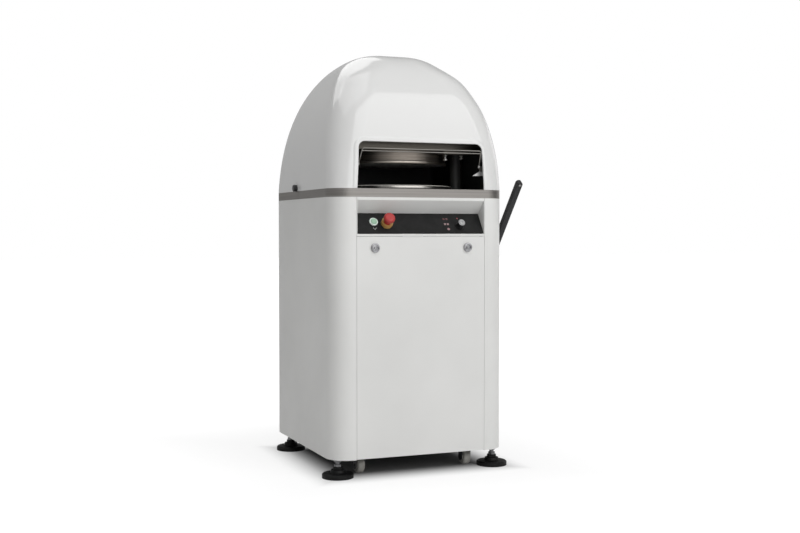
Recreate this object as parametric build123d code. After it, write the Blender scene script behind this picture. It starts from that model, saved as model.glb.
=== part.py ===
from build123d import *
import math
import os

os.makedirs("parts", exist_ok=True)

# Dough divider rounder, in millimetres. X to the right, Y to the rear, Z up, floor at Z = 0.

# Clearances
FIT = 0.2
RUN = 0.05
FREE = 0.3

# Cabinet
CAB_W = 664.0
CAB_D = 650.0
CORNER_R = 75.0
REAR_R = 8.0
SKIRT_Z = 64.0
BAND_Z = 970.0
BAND_H = 30.0
BAND_LEDGE = 12.0
BAND_SEAM_Y = 60.0
SHEET = 2.0
SEAM = 1.0
FRONT_IN = 88.5
REAR_RETURN = 30.0
SEAM_FLANGE = 16.0
BASE_LIFT = 2.0
BASE_T = 10.0
DECK_T = 12.0
POST = 40.0
POST_WALL = 3.0
POST_FRONT_IN = 53.0
POST_REAR_IN = 32.0
LEAST_R = 1.0
LOUVRE_W = 150.0
LOUVRE_H = 7.0
LOUVRE_PITCH = 22.0
LOUVRE_ROWS = 8
LOUVRE_X = 130.0
LOUVRE_Z = 640.0

# Control recess and door
LIP_H = 10.0
RECESS_DEPTH = 49.0
APEX_Z = 915.0
RECESS_LOW_Z = 843.0
DOOR_TOP_Z = 835.0
DOOR_FLANGE = 12.0
DOOR_FLANGE_Z = 130.0
PLATE_T = 3.0
PLATE_EDGE = 4.0
HINGE_IN = 14.0
HINGE_UP = 26.0
HINGE_PIN_R = 4.0
HINGE_LUG_IN = 38.5
HINGE_LUG_T = 6.0
HINGE_EAR_T = 10.0
HINGE_EAR_R = 8.0
FRONT_NOTCH = 47.0
KERB_H = 32.0
KERB_T = 4.0

# Door locks
LOCK_IN = 67.5
LOCK_Z = 795.0
LOCK_R = 16.0
LOCK_HEAD = 7.0
LOCK_EDGE_R = 2.3
LOCK_DISH_R = 11.0
LOCK_DISH = 4.5
LOCK_KEY = 8.0
LOCK_KEY_H = 3.5
LOCK_BARREL_R = 10.0
LOCK_BARREL = 16.0
CAM_LEN = 46.0
CAM_W = 12.0
CAM_T = 3.0

# Controls on the sloped plate: in from the end of the front, and up the slope from its middle
START_IN = 71.5
START_UP = 5.5
STOP_IN = 119.0
STOP_UP = -1.0
TIMER_IN = 89.5
TIMER_UP = -9.5
LAMP_IN = 91.5
LAMP_UP = 22.8
LENS_IN = 139.5
LENS_ROWS = (19.7, -2.2)
LENS_PITCH = 11.0
LENS_W = 7.0
LENS_H = 7.0
LENS_ROUND_IN = 136.0
LENS_ROUND_UP = -23.2
LENS_ROUND_R = 5.0
LENS_PROUD = 0.6
LAMP_R = 2.5
BARREL_R = 11.0
RING_FLOOR = 1.0
BARREL_WALL = 2.0
BARREL_DEPTH = 20.0
STEM_DEPTH = 12.0
START_R = 11.0
START_EDGE_R = 1.5
BEZEL_R = 15.0
BEZEL_H = 5.0
BUTTON_PROUD = 3.5
START_TRAVEL = 3.0
STOP_COLLAR_R = 21.0
STOP_COLLAR_H = 12.0
STOP_CAP_R = 20.0
STOP_CAP_H = 13.0
STOP_CROWN_R = 9.0
STOP_NECK_R = 12.8
STOP_NECK_H = 26.0
STOP_TRAVEL = 4.0
TIMER_SKIRT_R = 15.5
TIMER_SKIRT_H = 5.0
TIMER_R = 13.0
TIMER_H = 21.0
SPINDLE_R = 3.0
SPINDLE_DEPTH = 14.0

# Hood
HOOD_H = 500.5
HOOD_WALL = 4.0
HOOD_SIDE_CURVE = (1.98, 3.17)
HOOD_FRONT_CURVE = (2.7, 1.95)
HOOD_REAR_CURVE = (2.6, 1.95)
HOOD_RIDGE_Y = -17.0
HOOD_FRONT_R = 140.0
HOOD_REAR_R = 110.0
HOOD_LEVELS = (0.0, 0.15, 0.3, 0.45, 0.6, 0.73, 0.84, 0.92, 0.97, 0.99, 0.997)
WINDOW_IN = 2.5
WINDOW_TOP_IN = 8.0
WINDOW_H = 162.0
WINDOW_R = 23.0
HOOD_HINGE_X = 180.0
HOOD_HINGE_W = 60.0
HOOD_AXIS_OUT = 8.0
HOOD_AXIS_UP = 6.0
HOOD_KNUCKLE_R = 6.0
HOOD_PIN_R = 3.0
LEAF_T = 3.0
LEAF_H = 24.0
KNOB_Y = 80.0
KNOB_UP = 11.0
KNOB_R = 12.5
KNOB_H = 14.0
KNOB_EDGE_R = 2.0
STUD_R = 4.0
STUD_LEN = 38.0
KNOB_LUG_IN = 20.0
KNOB_LUG_T = 6.0
KNOB_LUG_HALF = 14.0
KNOB_LUG_RISE = 5.0
KNOB_SLOT_GAP = 0.6
GUARD_WIRE_R = 2.0
GUARD_PIVOT_IN = 1.0
GUARD_LEG_IN = 9.0
GUARD_TOP_GAP = 8.5
GUARD_IN = 25.0
GUARD_LEAN = 28.5
GUARD_UP = 75.0
GUARD_LEG = 70.5
GUARD_BAR_DROP = 10.0
GUARD_BEND_R = 8.0
GUARD_FOOT_R = 4.5
BRACKET_T = 3.0
BRACKET_FOOT = 15.0
BRACKET_RISE = 9.0
BRACKET_DROP = 25.0
BRACKET_EYE = 8.0
GUARD_STOP_REACH = 31.0
GUARD_STOP_H = 18.0

# Feet and casters
FOOT_IN_X = 35.0
FOOT_IN_Y = 47.0
PAD_R = 55.0
PAD_RIM = 16.0
PAD_EDGE = 3.5
PAD_RISE = 3.0
PAD_STEP_R = 24.0
PAD_STEP_Z = 28.0
PAD_FLARE = 3.0
PAD_HUB_R = 16.5
PAD_H = 38.0
STEM_R = 8.0
STEM_FOOT_Z = 10.0
STEM_HEX_H = 8.0
NUT_AF = 24.0
NUT_H = 11.0
CASTER_IN_X = 127.0
CASTER_IN_Y = 84.0
WHEEL_R = 28.0
WHEEL_W = 28.0
WHEEL_TREAD = 4.0
WHEEL_HUB_R = 12.6
WHEEL_DISH_R = 21.0
WHEEL_LIP = 2.0
WHEEL_FACE_IN = 1.0
WHEEL_LIFT = 3.0
WHEEL_SIDE_GAP = 1.0
AXLE_R = 4.0
FORK_T = 3.0
FORK_PLATE = 60.0

# Press head, carried on two columns
COLUMN_IN = 52.0
COLUMN_R = 22.0
COLUMN_TOP_Z = 1194.0
BUSH_R = 30.0
BUSH_FLANGE_R = 36.0
BUSH_FLANGE = 7.0
BUSH_LEN = 80.0
RING_RIM_Z = 1095.0
RING_LEDGE = 10.0
RING_WALL = 7.0
RING_H = 47.0
HEAD_GAP = 55.0
HEAD_H = 68.0
HEAD_TOP = 8.0
HEAD_LEDGE = 8.0
CARRIER_T = 8.0
CARRIER_DROP = 50.0
HEAD_LUG_R = 27.0
HEAD_LUG_H = 40.0
HEAD_WEB_W = 46.0
KNIFE_T = 2.5
KNIFE_GAP = 0.5
KNIFE_RINGS = (62.0, 134.0)
KNIFE_COUNTS = (4, 10, 16)
CORE_CELL_R = 38.4
KNIFE_RISE = 1.0
PLATEN_RISE = 2.0
PLATEN_T = 12.0
PLATEN_RIM_GAP = 1.0
PLATEN_CARRIER_GAP = 10.0
PLATEN_CARRIER_T = 9.0
POST_SIZE = 10.0
POST_GAP = 0.5
RAM_R = 35.0
RAM_BORE_R = 25.0
RAM_H = 112.0
RAM_CAP = 10.0
RAM_ROD_R = 12.5
RAM_ROD_LEN = 92.0
PISTON_T = 12.0

# Press drive in the base
YOKE_Z = 430.0
YOKE_H = 50.0
YOKE_W = 64.0
YOKE_END = 32.0
CYL_R = 45.0
CYL_BORE_R = 31.5
CYL_TOP_Z = 330.0
CYL_CAP = 20.0
CYL_GLAND = 12.0
ROD_R = 18.0
ROD_SPIGOT_R = 12.0
ROD_PISTON_Z = 190.0
ROD_PISTON_T = 25.0
TANK = (200.0, 190.0, 200.0)
TANK_AT = (-160.0, 165.0)
TANK_EDGE_R = 12.0
PUMP_R = 62.0
PUMP_H = 190.0

# Rounding drive under the deck
ECCENTRIC = 12.0
SHAFT_R = 17.5
BEARING_R = 31.0
BEARING_W = 14.0
HOUSING_R = 55.0
HOUSING_H = 134.0
HOUSING_BORE_R = 22.0
CASTING_R = 90.0
CASTING_T = 12.0
CRANK_DISC_R = 45.0
CRANK_DISC_T = 6.0
CRANK_RISE = 1.0
ECC_PIN_R = 15.0
PIN_H = 8.0
IDLER_IN = 77.0
IDLER_R = 12.0
IDLER_DISC_R = 28.0
IDLER_COLLAR_R = 18.0
IDLER_COLLAR_H = 10.0
IDLER_PIN_R = 8.0
TABLE_T = 10.7
MOULDING_T = 18.0
MOULDING_EDGE_R = 3.0
PULLEY_R = 110.0
PULLEY_W = 28.0
PULLEY_DROP = 65.0
PULLEY_WEB = 8.0
PULLEY_RIM = 9.0
PULLEY_HUB_R = 32.0
MOTOR_Y = 200.0
MOTOR_R = 72.0
MOTOR_H = 180.0
MOTOR_FINS = 16
FIN_DEPTH = 5.0
FIN_W = 4.0
MOTOR_SHAFT_R = 12.0
MOTOR_PULLEY_R = 37.5
BELT_T = 4.0
BELT_W = 22.0

# Side lever
LEVER_Y = -100.0
LEVER_Z = 698.0
LEVER_LEN = 452.0
LEVER_RAKE = 50.3
LEVER_W = 22.0
LEVER_T = 14.0
LEVER_EDGE_R = 2.0
LEVER_OUT = 13.0
LEVER_HOLE_R = 4.5
LEVER_BOSS_R = 24.0
LEVER_SHAFT_R = 12.0
LEVER_SHAFT_IN = 44.0
LEVER_CRANK = 52.0
LEVER_CRANK_W = 34.0
LEVER_CRANK_T = 8.0
BUSH_BODY_R = 19.0
BUSH_RIM_R = 32.0
BUSH_RIM_T = 7.0
BUSH_DEPTH = 28.0

# Cable gland at the back
GLAND_IN_X = 92.0
GLAND_Z = 140.0
GLAND_R = 14.0
GLAND_BORE_R = 7.0
GLAND_OUT = 14.0
GLAND_FLANGE_R = 18.0
GLAND_FLANGE = 4.0
GLAND_IN = 12.0

# Levels and faces that follow from the sizes above
FRONT_Y = -CAB_D / 2
REAR_Y = CAB_D / 2
SIDE_X = CAB_W / 2
BAND_TOP = BAND_Z + BAND_H
DECK_TOP = BAND_Z + DECK_T
BASE_Z = SKIRT_Z + BASE_LIFT
BASE_TOP = BASE_Z + BASE_T
FRONT_HALF = SIDE_X - FRONT_IN
HINGE_LUG_X = FRONT_HALF - HINGE_LUG_IN
LOCK_X = FRONT_HALF - LOCK_IN
START_AT = (START_IN - FRONT_HALF, START_UP)
STOP_AT = (STOP_IN - FRONT_HALF, STOP_UP)
TIMER_AT = (FRONT_HALF - TIMER_IN, TIMER_UP)
LAMP_AT = (FRONT_HALF - LAMP_IN, LAMP_UP)
LENS_X = FRONT_HALF - LENS_IN
LENS_ROUND_AT = (FRONT_HALF - LENS_ROUND_IN, LENS_ROUND_UP)
WINDOW_HALF = FRONT_HALF - WINDOW_IN
WINDOW_TOP_HALF = WINDOW_HALF - WINDOW_TOP_IN
GUARD_PIVOT_X = WINDOW_HALF - GUARD_PIVOT_IN
GUARD_LEG_X = GUARD_PIVOT_X - GUARD_LEG_IN
GUARD_TOP_X = WINDOW_TOP_HALF - GUARD_TOP_GAP
FOOT_X = SIDE_X - FOOT_IN_X
FOOT_Y = REAR_Y - FOOT_IN_Y
CASTER_X = SIDE_X - CASTER_IN_X
CASTER_Y = REAR_Y - CASTER_IN_Y
COLUMN_X = SIDE_X - COLUMN_IN
HEAD_R = COLUMN_X - HEAD_GAP
RING_R = HEAD_R - RING_LEDGE
TABLE_R = RING_R + ECCENTRIC
IDLER_X = TABLE_R - IDLER_IN
GLAND_X = SIDE_X - GLAND_IN_X
HINGE_Y = FRONT_Y + HINGE_IN
HINGE_Z = SKIRT_Z + HINGE_UP
KERB_Y = FRONT_Y + FRONT_NOTCH
HOOD_AXIS_Y = REAR_Y + HOOD_AXIS_OUT
HOOD_AXIS_Z = BAND_TOP + HOOD_AXIS_UP
KNOB_Z = BAND_TOP + KNOB_UP
GUARD_Y = FRONT_Y + GUARD_IN
GUARD_Z = BAND_TOP + GUARD_UP
RING_IN_R = RING_R - RING_WALL
PLATEN_CARRIER_R = RING_IN_R - HEAD_LEDGE - PLATEN_CARRIER_GAP
HEAD_Z = RING_RIM_Z + RING_H
HEAD_ROOF_Z = HEAD_Z + HEAD_H
CARRIER_Z = HEAD_Z + HEAD_H - CARRIER_DROP - CARRIER_T
KNIFE_EDGE_Z = RING_RIM_Z + PLATEN_RISE + KNIFE_RISE
PLATEN_Z = RING_RIM_Z + PLATEN_RISE
PLATEN_CARRIER_Z = CARRIER_Z + CARRIER_T + FREE
CRANK_Z = DECK_TOP + CRANK_RISE
CRANK_TOP = CRANK_Z + CRANK_DISC_T
TABLE_Z = CRANK_TOP + FREE
TABLE_TOP = TABLE_Z + TABLE_T
CASTING_Z = BAND_Z - CASTING_T
HOUSING_Z = CASTING_Z - HOUSING_H
PULLEY_Z = HOUSING_Z - PULLEY_DROP - PULLEY_W
LEVER_X = SIDE_X + LEVER_OUT


# Shared shapes

def box_between(x0, x1, y0, y1, z0, z1):
    block = Box(x1 - x0, y1 - y0, z1 - z0)
    return Pos((x0 + x1) / 2, (y0 + y1) / 2, (z0 + z1) / 2) * block


def rod(x, y, z0, z1, radius):
    return Pos(x, y, (z0 + z1) / 2) * Cylinder(radius, z1 - z0)


def tube(x, y, z0, z1, outer, inner):
    return rod(x, y, z0, z1, outer) - rod(x, y, z0, z1, inner)


def rod_x(y, z, x0, x1, radius):
    return Pos((x0 + x1) / 2, y, z) * Rot(0, 90, 0) * Cylinder(radius, x1 - x0)


def rod_y(x, z, y0, y1, radius):
    return Pos(x, (y0 + y1) / 2, z) * Rot(90, 0, 0) * Cylinder(radius, y1 - y0)


def slab(face, z0, z1):
    return extrude(Pos(0, 0, z0) * face, z1 - z0)


def upright(points, x0, x1):
    """Prism along X whose section is given by (y, z) points."""
    section = make_face(Polyline([(x0, y, z) for y, z in points], close=True))
    return extrude(section, x1 - x0, dir=(1, 0, 0))


def mirrored(shape):
    return mirror(shape, about=Plane.YZ)


def both_sides(shape):
    return [shape, mirrored(shape)]


def corners(x, y):
    return [(-x, -y), (x, -y), (-x, y), (x, y)]


def rounded_plan(half_w, half_d, front_r, rear_r):
    plan = Rectangle(2 * half_w, 2 * half_d)
    plan = fillet(plan.vertices().group_by(Axis.Y)[0], front_r)
    return fillet(plan.vertices().group_by(Axis.Y)[-1], rear_r)


def outline(inset=0.0):
    """Plan of the cabinet, moved inwards by inset."""
    rear_r = max(REAR_R - inset, LEAST_R)
    return rounded_plan(SIDE_X - inset, REAR_Y - inset, CORNER_R - inset, rear_r)


def save(name, *solids):
    shape = solids[0] if len(solids) == 1 else Compound(list(solids))
    export_step(shape, f"parts/{name}.step")


# Frame and cabinet

def base_plate():
    plate = slab(outline(SHEET + FIT), BASE_Z, BASE_TOP)
    notch_half = FRONT_HALF + SEAM_FLANGE / 2
    plate -= box_between(-notch_half, notch_half, FRONT_Y, KERB_Y, BASE_Z, BASE_TOP)
    kerb_half = FRONT_HALF - SHEET
    plate += box_between(-kerb_half, kerb_half, KERB_Y, KERB_Y + KERB_T, BASE_Z, BASE_TOP + KERB_H)
    for lug in both_sides(hinge_lug()):
        plate += lug
    for x, y in corners(FOOT_X, FOOT_Y):
        plate -= rod(x, y, BASE_Z, BASE_TOP, STEM_R + FIT)
    return plate


def hinge_lug():
    """Arm on the kerb with the door's pivot pin."""
    half = HINGE_PIN_R + SHEET
    inner = HINGE_LUG_X
    outer = HINGE_LUG_X + HINGE_LUG_T
    arm = box_between(inner, outer, HINGE_Y, KERB_Y + KERB_T, HINGE_Z - half, HINGE_Z + half)
    arm += rod_x(HINGE_Y, HINGE_Z, inner, outer, half)
    return arm + rod_x(HINGE_Y, HINGE_Z, outer, outer + HINGE_EAR_T + 2 * FREE, HINGE_PIN_R)


def post_places():
    front_x = SIDE_X - POST_FRONT_IN
    rear_x = SIDE_X - POST_REAR_IN
    front_y = FRONT_Y + POST_FRONT_IN
    rear_y = REAR_Y - POST_REAR_IN
    return [(-front_x, front_y), (front_x, front_y), (-rear_x, rear_y), (rear_x, rear_y)]


def corner_posts():
    bore = POST - 2 * POST_WALL
    wall = Rectangle(POST, POST) - Rectangle(bore, bore)
    return [slab(Pos(x, y) * wall, BASE_TOP, BAND_Z) for x, y in post_places()]


def side_panel():
    """Right side panel: wraps from the front seam round the corner to the back."""
    ring = slab(outline() - outline(SHEET), SKIRT_Z, BAND_Z)
    seam_x = FRONT_HALF + SEAM / 2
    ahead = box_between(seam_x, CAB_W, -CAB_D, 0, 0, BAND_Z)
    behind = box_between(SIDE_X - REAR_RETURN, CAB_W, 0, CAB_D, 0, BAND_Z)
    panel = ring & (ahead + behind)
    inner_y = FRONT_Y + SHEET
    return panel + box_between(seam_x, seam_x + SHEET, inner_y, inner_y + SEAM_FLANGE, SKIRT_Z, BAND_Z)


def right_side_panel():
    return side_panel() - rod_x(LEVER_Y, LEVER_Z, SIDE_X - SHEET, SIDE_X, BUSH_BODY_R + FIT)


def rear_panel():
    half = SIDE_X - REAR_RETURN - SEAM
    panel = box_between(-half, half, REAR_Y - SHEET, REAR_Y, SKIRT_Z, BAND_Z)
    slot = SlotOverall(LOUVRE_W, LOUVRE_H)
    for row in range(LOUVRE_ROWS):
        for x in (-LOUVRE_X, LOUVRE_X):
            place = Plane.XZ.offset(-REAR_Y) * Pos(x, LOUVRE_Z + row * LOUVRE_PITCH)
            panel -= extrude(place * slot, SHEET)
    return panel - rod_y(GLAND_X, GLAND_Z, REAR_Y - SHEET, REAR_Y, GLAND_R + FIT)


def cable_gland():
    flange = rod_y(GLAND_X, GLAND_Z, REAR_Y, REAR_Y + GLAND_FLANGE, GLAND_FLANGE_R)
    body = rod_y(GLAND_X, GLAND_Z, REAR_Y - SHEET - GLAND_IN, REAR_Y + GLAND_OUT, GLAND_R)
    bore = rod_y(GLAND_X, GLAND_Z, REAR_Y - SHEET - GLAND_IN, REAR_Y + GLAND_OUT, GLAND_BORE_R)
    return flange + body - bore


def band():
    """Whole stainless band: upright wall with a ledge that carries the hood."""
    wall = slab(outline() - outline(SHEET), BAND_Z, BAND_TOP)
    return wall + slab(outline() - outline(BAND_LEDGE), BAND_TOP - SHEET, BAND_TOP)


def front_band():
    return band() & box_between(-CAB_W, CAB_W, -CAB_D, BAND_SEAM_Y, BAND_Z, BAND_TOP)


def rear_band():
    return band() & box_between(-CAB_W, CAB_W, BAND_SEAM_Y + SEAM, CAB_D, BAND_Z, BAND_TOP)


def knob_lug():
    """Upright lug on the deck with an open slot for the hood knob's stud."""
    inner = SIDE_X - KNOB_LUG_IN
    outer = inner + KNOB_LUG_T
    top = KNOB_Z + KNOB_LUG_RISE
    slot_half = STUD_R + KNOB_SLOT_GAP
    lug = box_between(inner, outer, KNOB_Y - KNOB_LUG_HALF, KNOB_Y + KNOB_LUG_HALF, DECK_TOP, top)
    lug -= rod_x(KNOB_Y, KNOB_Z, inner, outer, slot_half)
    return lug - box_between(inner, outer, KNOB_Y - slot_half, KNOB_Y + slot_half, KNOB_Z, top)


def deck_plate():
    deck = slab(outline(SHEET + FIT), BAND_Z, DECK_TOP)
    for lug in both_sides(knob_lug()):
        deck += lug
    deck -= rod(0, 0, BAND_Z, DECK_TOP, HOUSING_BORE_R)
    for x in (-COLUMN_X, COLUMN_X):
        deck -= rod(x, 0, BAND_Z, DECK_TOP, BUSH_R + FIT)
    for x in (-IDLER_X, IDLER_X):
        deck -= rod(x, 0, BAND_Z, DECK_TOP, IDLER_R + RUN)
    return deck


def guide_bush(x):
    bore = COLUMN_R + RUN
    body = rod(x, 0, DECK_TOP - BUSH_LEN, DECK_TOP, BUSH_R)
    body += rod(x, 0, DECK_TOP, DECK_TOP + BUSH_FLANGE, BUSH_FLANGE_R)
    return body - rod(x, 0, DECK_TOP - BUSH_LEN, DECK_TOP + BUSH_FLANGE, bore)


# Control recess

RECESS_BACK_Y = FRONT_Y + RECESS_DEPTH
RECESS_TOP_Z = BAND_Z - LIP_H
SLOPE_LEN = math.hypot(RECESS_DEPTH, APEX_Z - RECESS_LOW_Z)
SLOPE_UP = (RECESS_DEPTH / SLOPE_LEN, (APEX_Z - RECESS_LOW_Z) / SLOPE_LEN)
CONTROL_PLANE = Plane(
    origin=(0, (FRONT_Y + RECESS_BACK_Y) / 2, (APEX_Z + RECESS_LOW_Z) / 2),
    x_dir=(1, 0, 0),
    z_dir=(0, -SLOPE_UP[1], SLOPE_UP[0]),
)
FASCIA_HALF = FRONT_HALF - SEAM / 2


def on_plate(at, height=0.0):
    return CONTROL_PLANE.location * Pos(at[0], at[1], height)


def disc(at, z0, z1, radius):
    """Cylinder standing on the control plate from height z0 to z1."""
    return on_plate(at, (z0 + z1) / 2) * Cylinder(radius, z1 - z0)


def control_fascia():
    """Folded sheet round the recess: upper lip, sloping roof, lower lip and two cheeks."""
    roof_fall = math.hypot(RECESS_DEPTH, RECESS_TOP_Z - APEX_Z)
    rise = SHEET * roof_fall / RECESS_DEPTH
    roof = [
        (FRONT_Y, BAND_Z),
        (FRONT_Y, RECESS_TOP_Z),
        (RECESS_BACK_Y, APEX_Z),
        (RECESS_BACK_Y, APEX_Z + rise),
        (FRONT_Y + SHEET, RECESS_TOP_Z + rise),
        (FRONT_Y + SHEET, BAND_Z),
    ]
    low_back = FRONT_Y + DOOR_FLANGE
    low = [
        (FRONT_Y, RECESS_LOW_Z),
        (FRONT_Y, DOOR_TOP_Z),
        (low_back, DOOR_TOP_Z),
        (low_back, DOOR_TOP_Z + SHEET),
        (FRONT_Y + SHEET, DOOR_TOP_Z + SHEET),
        (FRONT_Y + SHEET, RECESS_LOW_Z),
    ]
    cheek = [
        (FRONT_Y, BAND_Z),
        (FRONT_Y, DOOR_TOP_Z),
        (low_back, DOOR_TOP_Z),
        (RECESS_BACK_Y, APEX_Z),
        (RECESS_BACK_Y, BAND_Z),
    ]
    sheet = upright(roof, -FASCIA_HALF, FASCIA_HALF) + upright(low, -FASCIA_HALF, FASCIA_HALF)
    for end in both_sides(upright(cheek, FASCIA_HALF - SHEET, FASCIA_HALF)):
        sheet += end
    return sheet


def lens_places():
    half = LENS_PITCH / 2
    return [(x, up) for up in LENS_ROWS for x in (LENS_X - half, LENS_X + half)]


def control_plate():
    width = 2 * (FASCIA_HALF - SHEET - FIT)
    length = SLOPE_LEN - PLATE_EDGE - FIT
    middle = (0, PLATE_EDGE / 2 - FIT / 2)
    plate = on_plate(middle, -PLATE_T / 2) * Box(width, length, PLATE_T)
    for at in (START_AT, STOP_AT):
        plate -= disc(at, -PLATE_T, 0, BARREL_R + FIT)
    plate -= disc(TIMER_AT, -PLATE_T, 0, SPINDLE_R + RUN)
    plate -= disc(LAMP_AT, -PLATE_T, 0, LAMP_R + FIT)
    plate -= disc(LENS_ROUND_AT, -PLATE_T, 0, LENS_ROUND_R + FIT)
    for at in lens_places():
        plate -= on_plate(at, -PLATE_T / 2) * Box(LENS_W + FIT, LENS_H + FIT, PLATE_T)
    return plate


def indicator_lenses():
    depth = PLATE_T + LENS_PROUD
    middle = LENS_PROUD - depth / 2
    lenses = [on_plate(at, middle) * Box(LENS_W, LENS_H, depth) for at in lens_places()]
    lenses.append(disc(LENS_ROUND_AT, -PLATE_T, LENS_PROUD, LENS_ROUND_R))
    lenses.append(disc(LAMP_AT, -PLATE_T, LENS_PROUD, LAMP_R))
    return lenses


def button_barrel(at, rim_r, rim_h, opening_r):
    """Fixed button ring with its barrel through the plate."""
    ring = disc(at, 0, rim_h, rim_r)
    ring += disc(at, -BARREL_DEPTH, 0, BARREL_R)
    ring -= disc(at, RING_FLOOR, rim_h, opening_r)
    return ring - disc(at, -BARREL_DEPTH, RING_FLOOR, BARREL_R - BARREL_WALL)


def start_bezel():
    return button_barrel(START_AT, BEZEL_R, BEZEL_H, START_R + FREE)


def start_button():
    low = RING_FLOOR + START_TRAVEL + FREE
    cap = disc(START_AT, low, BEZEL_H + BUTTON_PROUD, START_R)
    cap = fillet(cap.edges().filter_by(GeomType.CIRCLE).sort_by(Axis.Z)[-1], START_EDGE_R)
    return cap + disc(START_AT, -STEM_DEPTH, low, BARREL_R - BARREL_WALL - FREE)


def stop_collar():
    return button_barrel(STOP_AT, STOP_COLLAR_R, STOP_COLLAR_H, STOP_NECK_R + FREE)


def stop_button():
    """Mushroom head on its neck and stem."""
    low = RING_FLOOR + STOP_TRAVEL + FREE
    neck_top = low + STOP_NECK_H
    cap = rod(0, 0, neck_top, neck_top + STOP_CAP_H, STOP_CAP_R)
    cap = fillet(cap.edges().filter_by(GeomType.CIRCLE).sort_by(Axis.Z)[-1], STOP_CROWN_R)
    neck = rod(0, 0, low, neck_top, STOP_NECK_R)
    stem = rod(0, 0, -STEM_DEPTH, low, BARREL_R - BARREL_WALL - FREE)
    return on_plate(STOP_AT) * (cap + neck + stem)


def timer_knob():
    knob = disc(TIMER_AT, FREE, FREE + TIMER_SKIRT_H, TIMER_SKIRT_R)
    knob += disc(TIMER_AT, FREE + TIMER_SKIRT_H, FREE + TIMER_H, TIMER_R)
    return knob + disc(TIMER_AT, -SPINDLE_DEPTH, FREE, SPINDLE_R)


# Door

def front_door():
    half = FRONT_HALF - SEAM / 2
    low = SKIRT_Z + BASE_LIFT
    top = DOOR_TOP_Z - SEAM
    inner = FRONT_Y + SHEET
    deep = FRONT_Y + DOOR_FLANGE
    door = box_between(-half, half, FRONT_Y, inner, low, top)
    door += box_between(-half, half, inner, deep, top - SHEET, top)
    ear_x = HINGE_LUG_X + HINGE_LUG_T + FREE
    ear_end = ear_x + HINGE_EAR_T
    ear = box_between(ear_x, ear_end, inner, HINGE_Y, HINGE_Z - HINGE_EAR_R, HINGE_Z + HINGE_EAR_R)
    ear += rod_x(HINGE_Y, HINGE_Z, ear_x, ear_end, HINGE_EAR_R)
    ear -= rod_x(HINGE_Y, HINGE_Z, ear_x, ear_end, HINGE_PIN_R + RUN)
    flange = box_between(half - SHEET, half, inner, deep, DOOR_FLANGE_Z, top)
    for piece in both_sides(ear) + both_sides(flange):
        door += piece
    for x in (-LOCK_X, LOCK_X):
        door -= rod_y(x, LOCK_Z, FRONT_Y, inner, LOCK_BARREL_R + RUN)
    return door


def door_lock(x):
    """Quarter-turn lock: dished head with a square key, barrel, and a cam that lies sideways when open."""
    front = FRONT_Y - LOCK_HEAD
    floor = front + LOCK_DISH
    key = LOCK_KEY / 2
    back = FRONT_Y + LOCK_BARREL
    lock = rod_y(x, LOCK_Z, front, FRONT_Y, LOCK_R)
    lock = fillet(lock.edges().filter_by(GeomType.CIRCLE).sort_by(Axis.Y)[0], LOCK_EDGE_R)
    lock -= rod_y(x, LOCK_Z, front, floor, LOCK_DISH_R)
    lock += box_between(x - key, x + key, floor - LOCK_KEY_H, floor, LOCK_Z - key, LOCK_Z + key)
    lock += rod_y(x, LOCK_Z, FRONT_Y, back, LOCK_BARREL_R)
    inward = -math.copysign(1, x)
    cam_x = sorted((x, x + inward * CAM_LEN))
    cam_half = CAM_W / 2
    return lock + box_between(cam_x[0], cam_x[1], back - CAM_T, back, LOCK_Z - cam_half, LOCK_Z + cam_half)


# Hood

def close_in(level, curve):
    """Share of the base size that is left at a level of the dome."""
    foot, crown = curve
    return (1 - level ** foot) ** (1 / crown)


def dome(inset):
    """Solid dome through rounded plans that close in along its side, front and rear curves."""
    sections = []
    for level in HOOD_LEVELS:
        half_w = (SIDE_X - inset) * close_in(level, HOOD_SIDE_CURVE)
        front = (HOOD_RIDGE_Y - FRONT_Y - inset) * close_in(level, HOOD_FRONT_CURVE)
        rear = (REAR_Y - HOOD_RIDGE_Y - inset) * close_in(level, HOOD_REAR_CURVE)
        half_d = (front + rear) / 2
        most = min(half_w, half_d) - LEAST_R
        front_r = min(CORNER_R + (HOOD_FRONT_R - CORNER_R) * level - inset, most)
        rear_r = min(REAR_R + (HOOD_REAR_R - REAR_R) * level - inset, most)
        plan = rounded_plan(half_w, half_d, front_r, rear_r)
        middle_y = HOOD_RIDGE_Y + (rear - front) / 2
        sections.append(Pos(0, middle_y, BAND_TOP + level * (HOOD_H - inset)) * plan)
    return loft(sections)


def window_cut():
    points = [
        (-WINDOW_HALF, 0),
        (WINDOW_HALF, 0),
        (WINDOW_TOP_HALF, WINDOW_H),
        (-WINDOW_TOP_HALF, WINDOW_H),
    ]
    face = make_face(Polyline(points, close=True))
    face = fillet(face.vertices().group_by(Axis.Y)[-1], WINDOW_R)
    place = Plane.XZ.offset(REAR_Y / 2) * Pos(0, BAND_TOP)
    return extrude(place * face, CAB_D)


def hood_shell():
    hood = dome(0) - dome(HOOD_WALL) - window_cut()
    return hood - rod_x(KNOB_Y, KNOB_Z, -CAB_W, CAB_W, STUD_R + RUN)


def hinge_knuckles(inner, outer):
    """Knuckle along the hood's axis between two distances from the hinge's middle."""
    x0 = HOOD_HINGE_X + inner
    x1 = HOOD_HINGE_X + outer
    return rod_x(HOOD_AXIS_Y, HOOD_AXIS_Z, x0, x1, HOOD_KNUCKLE_R)


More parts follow.
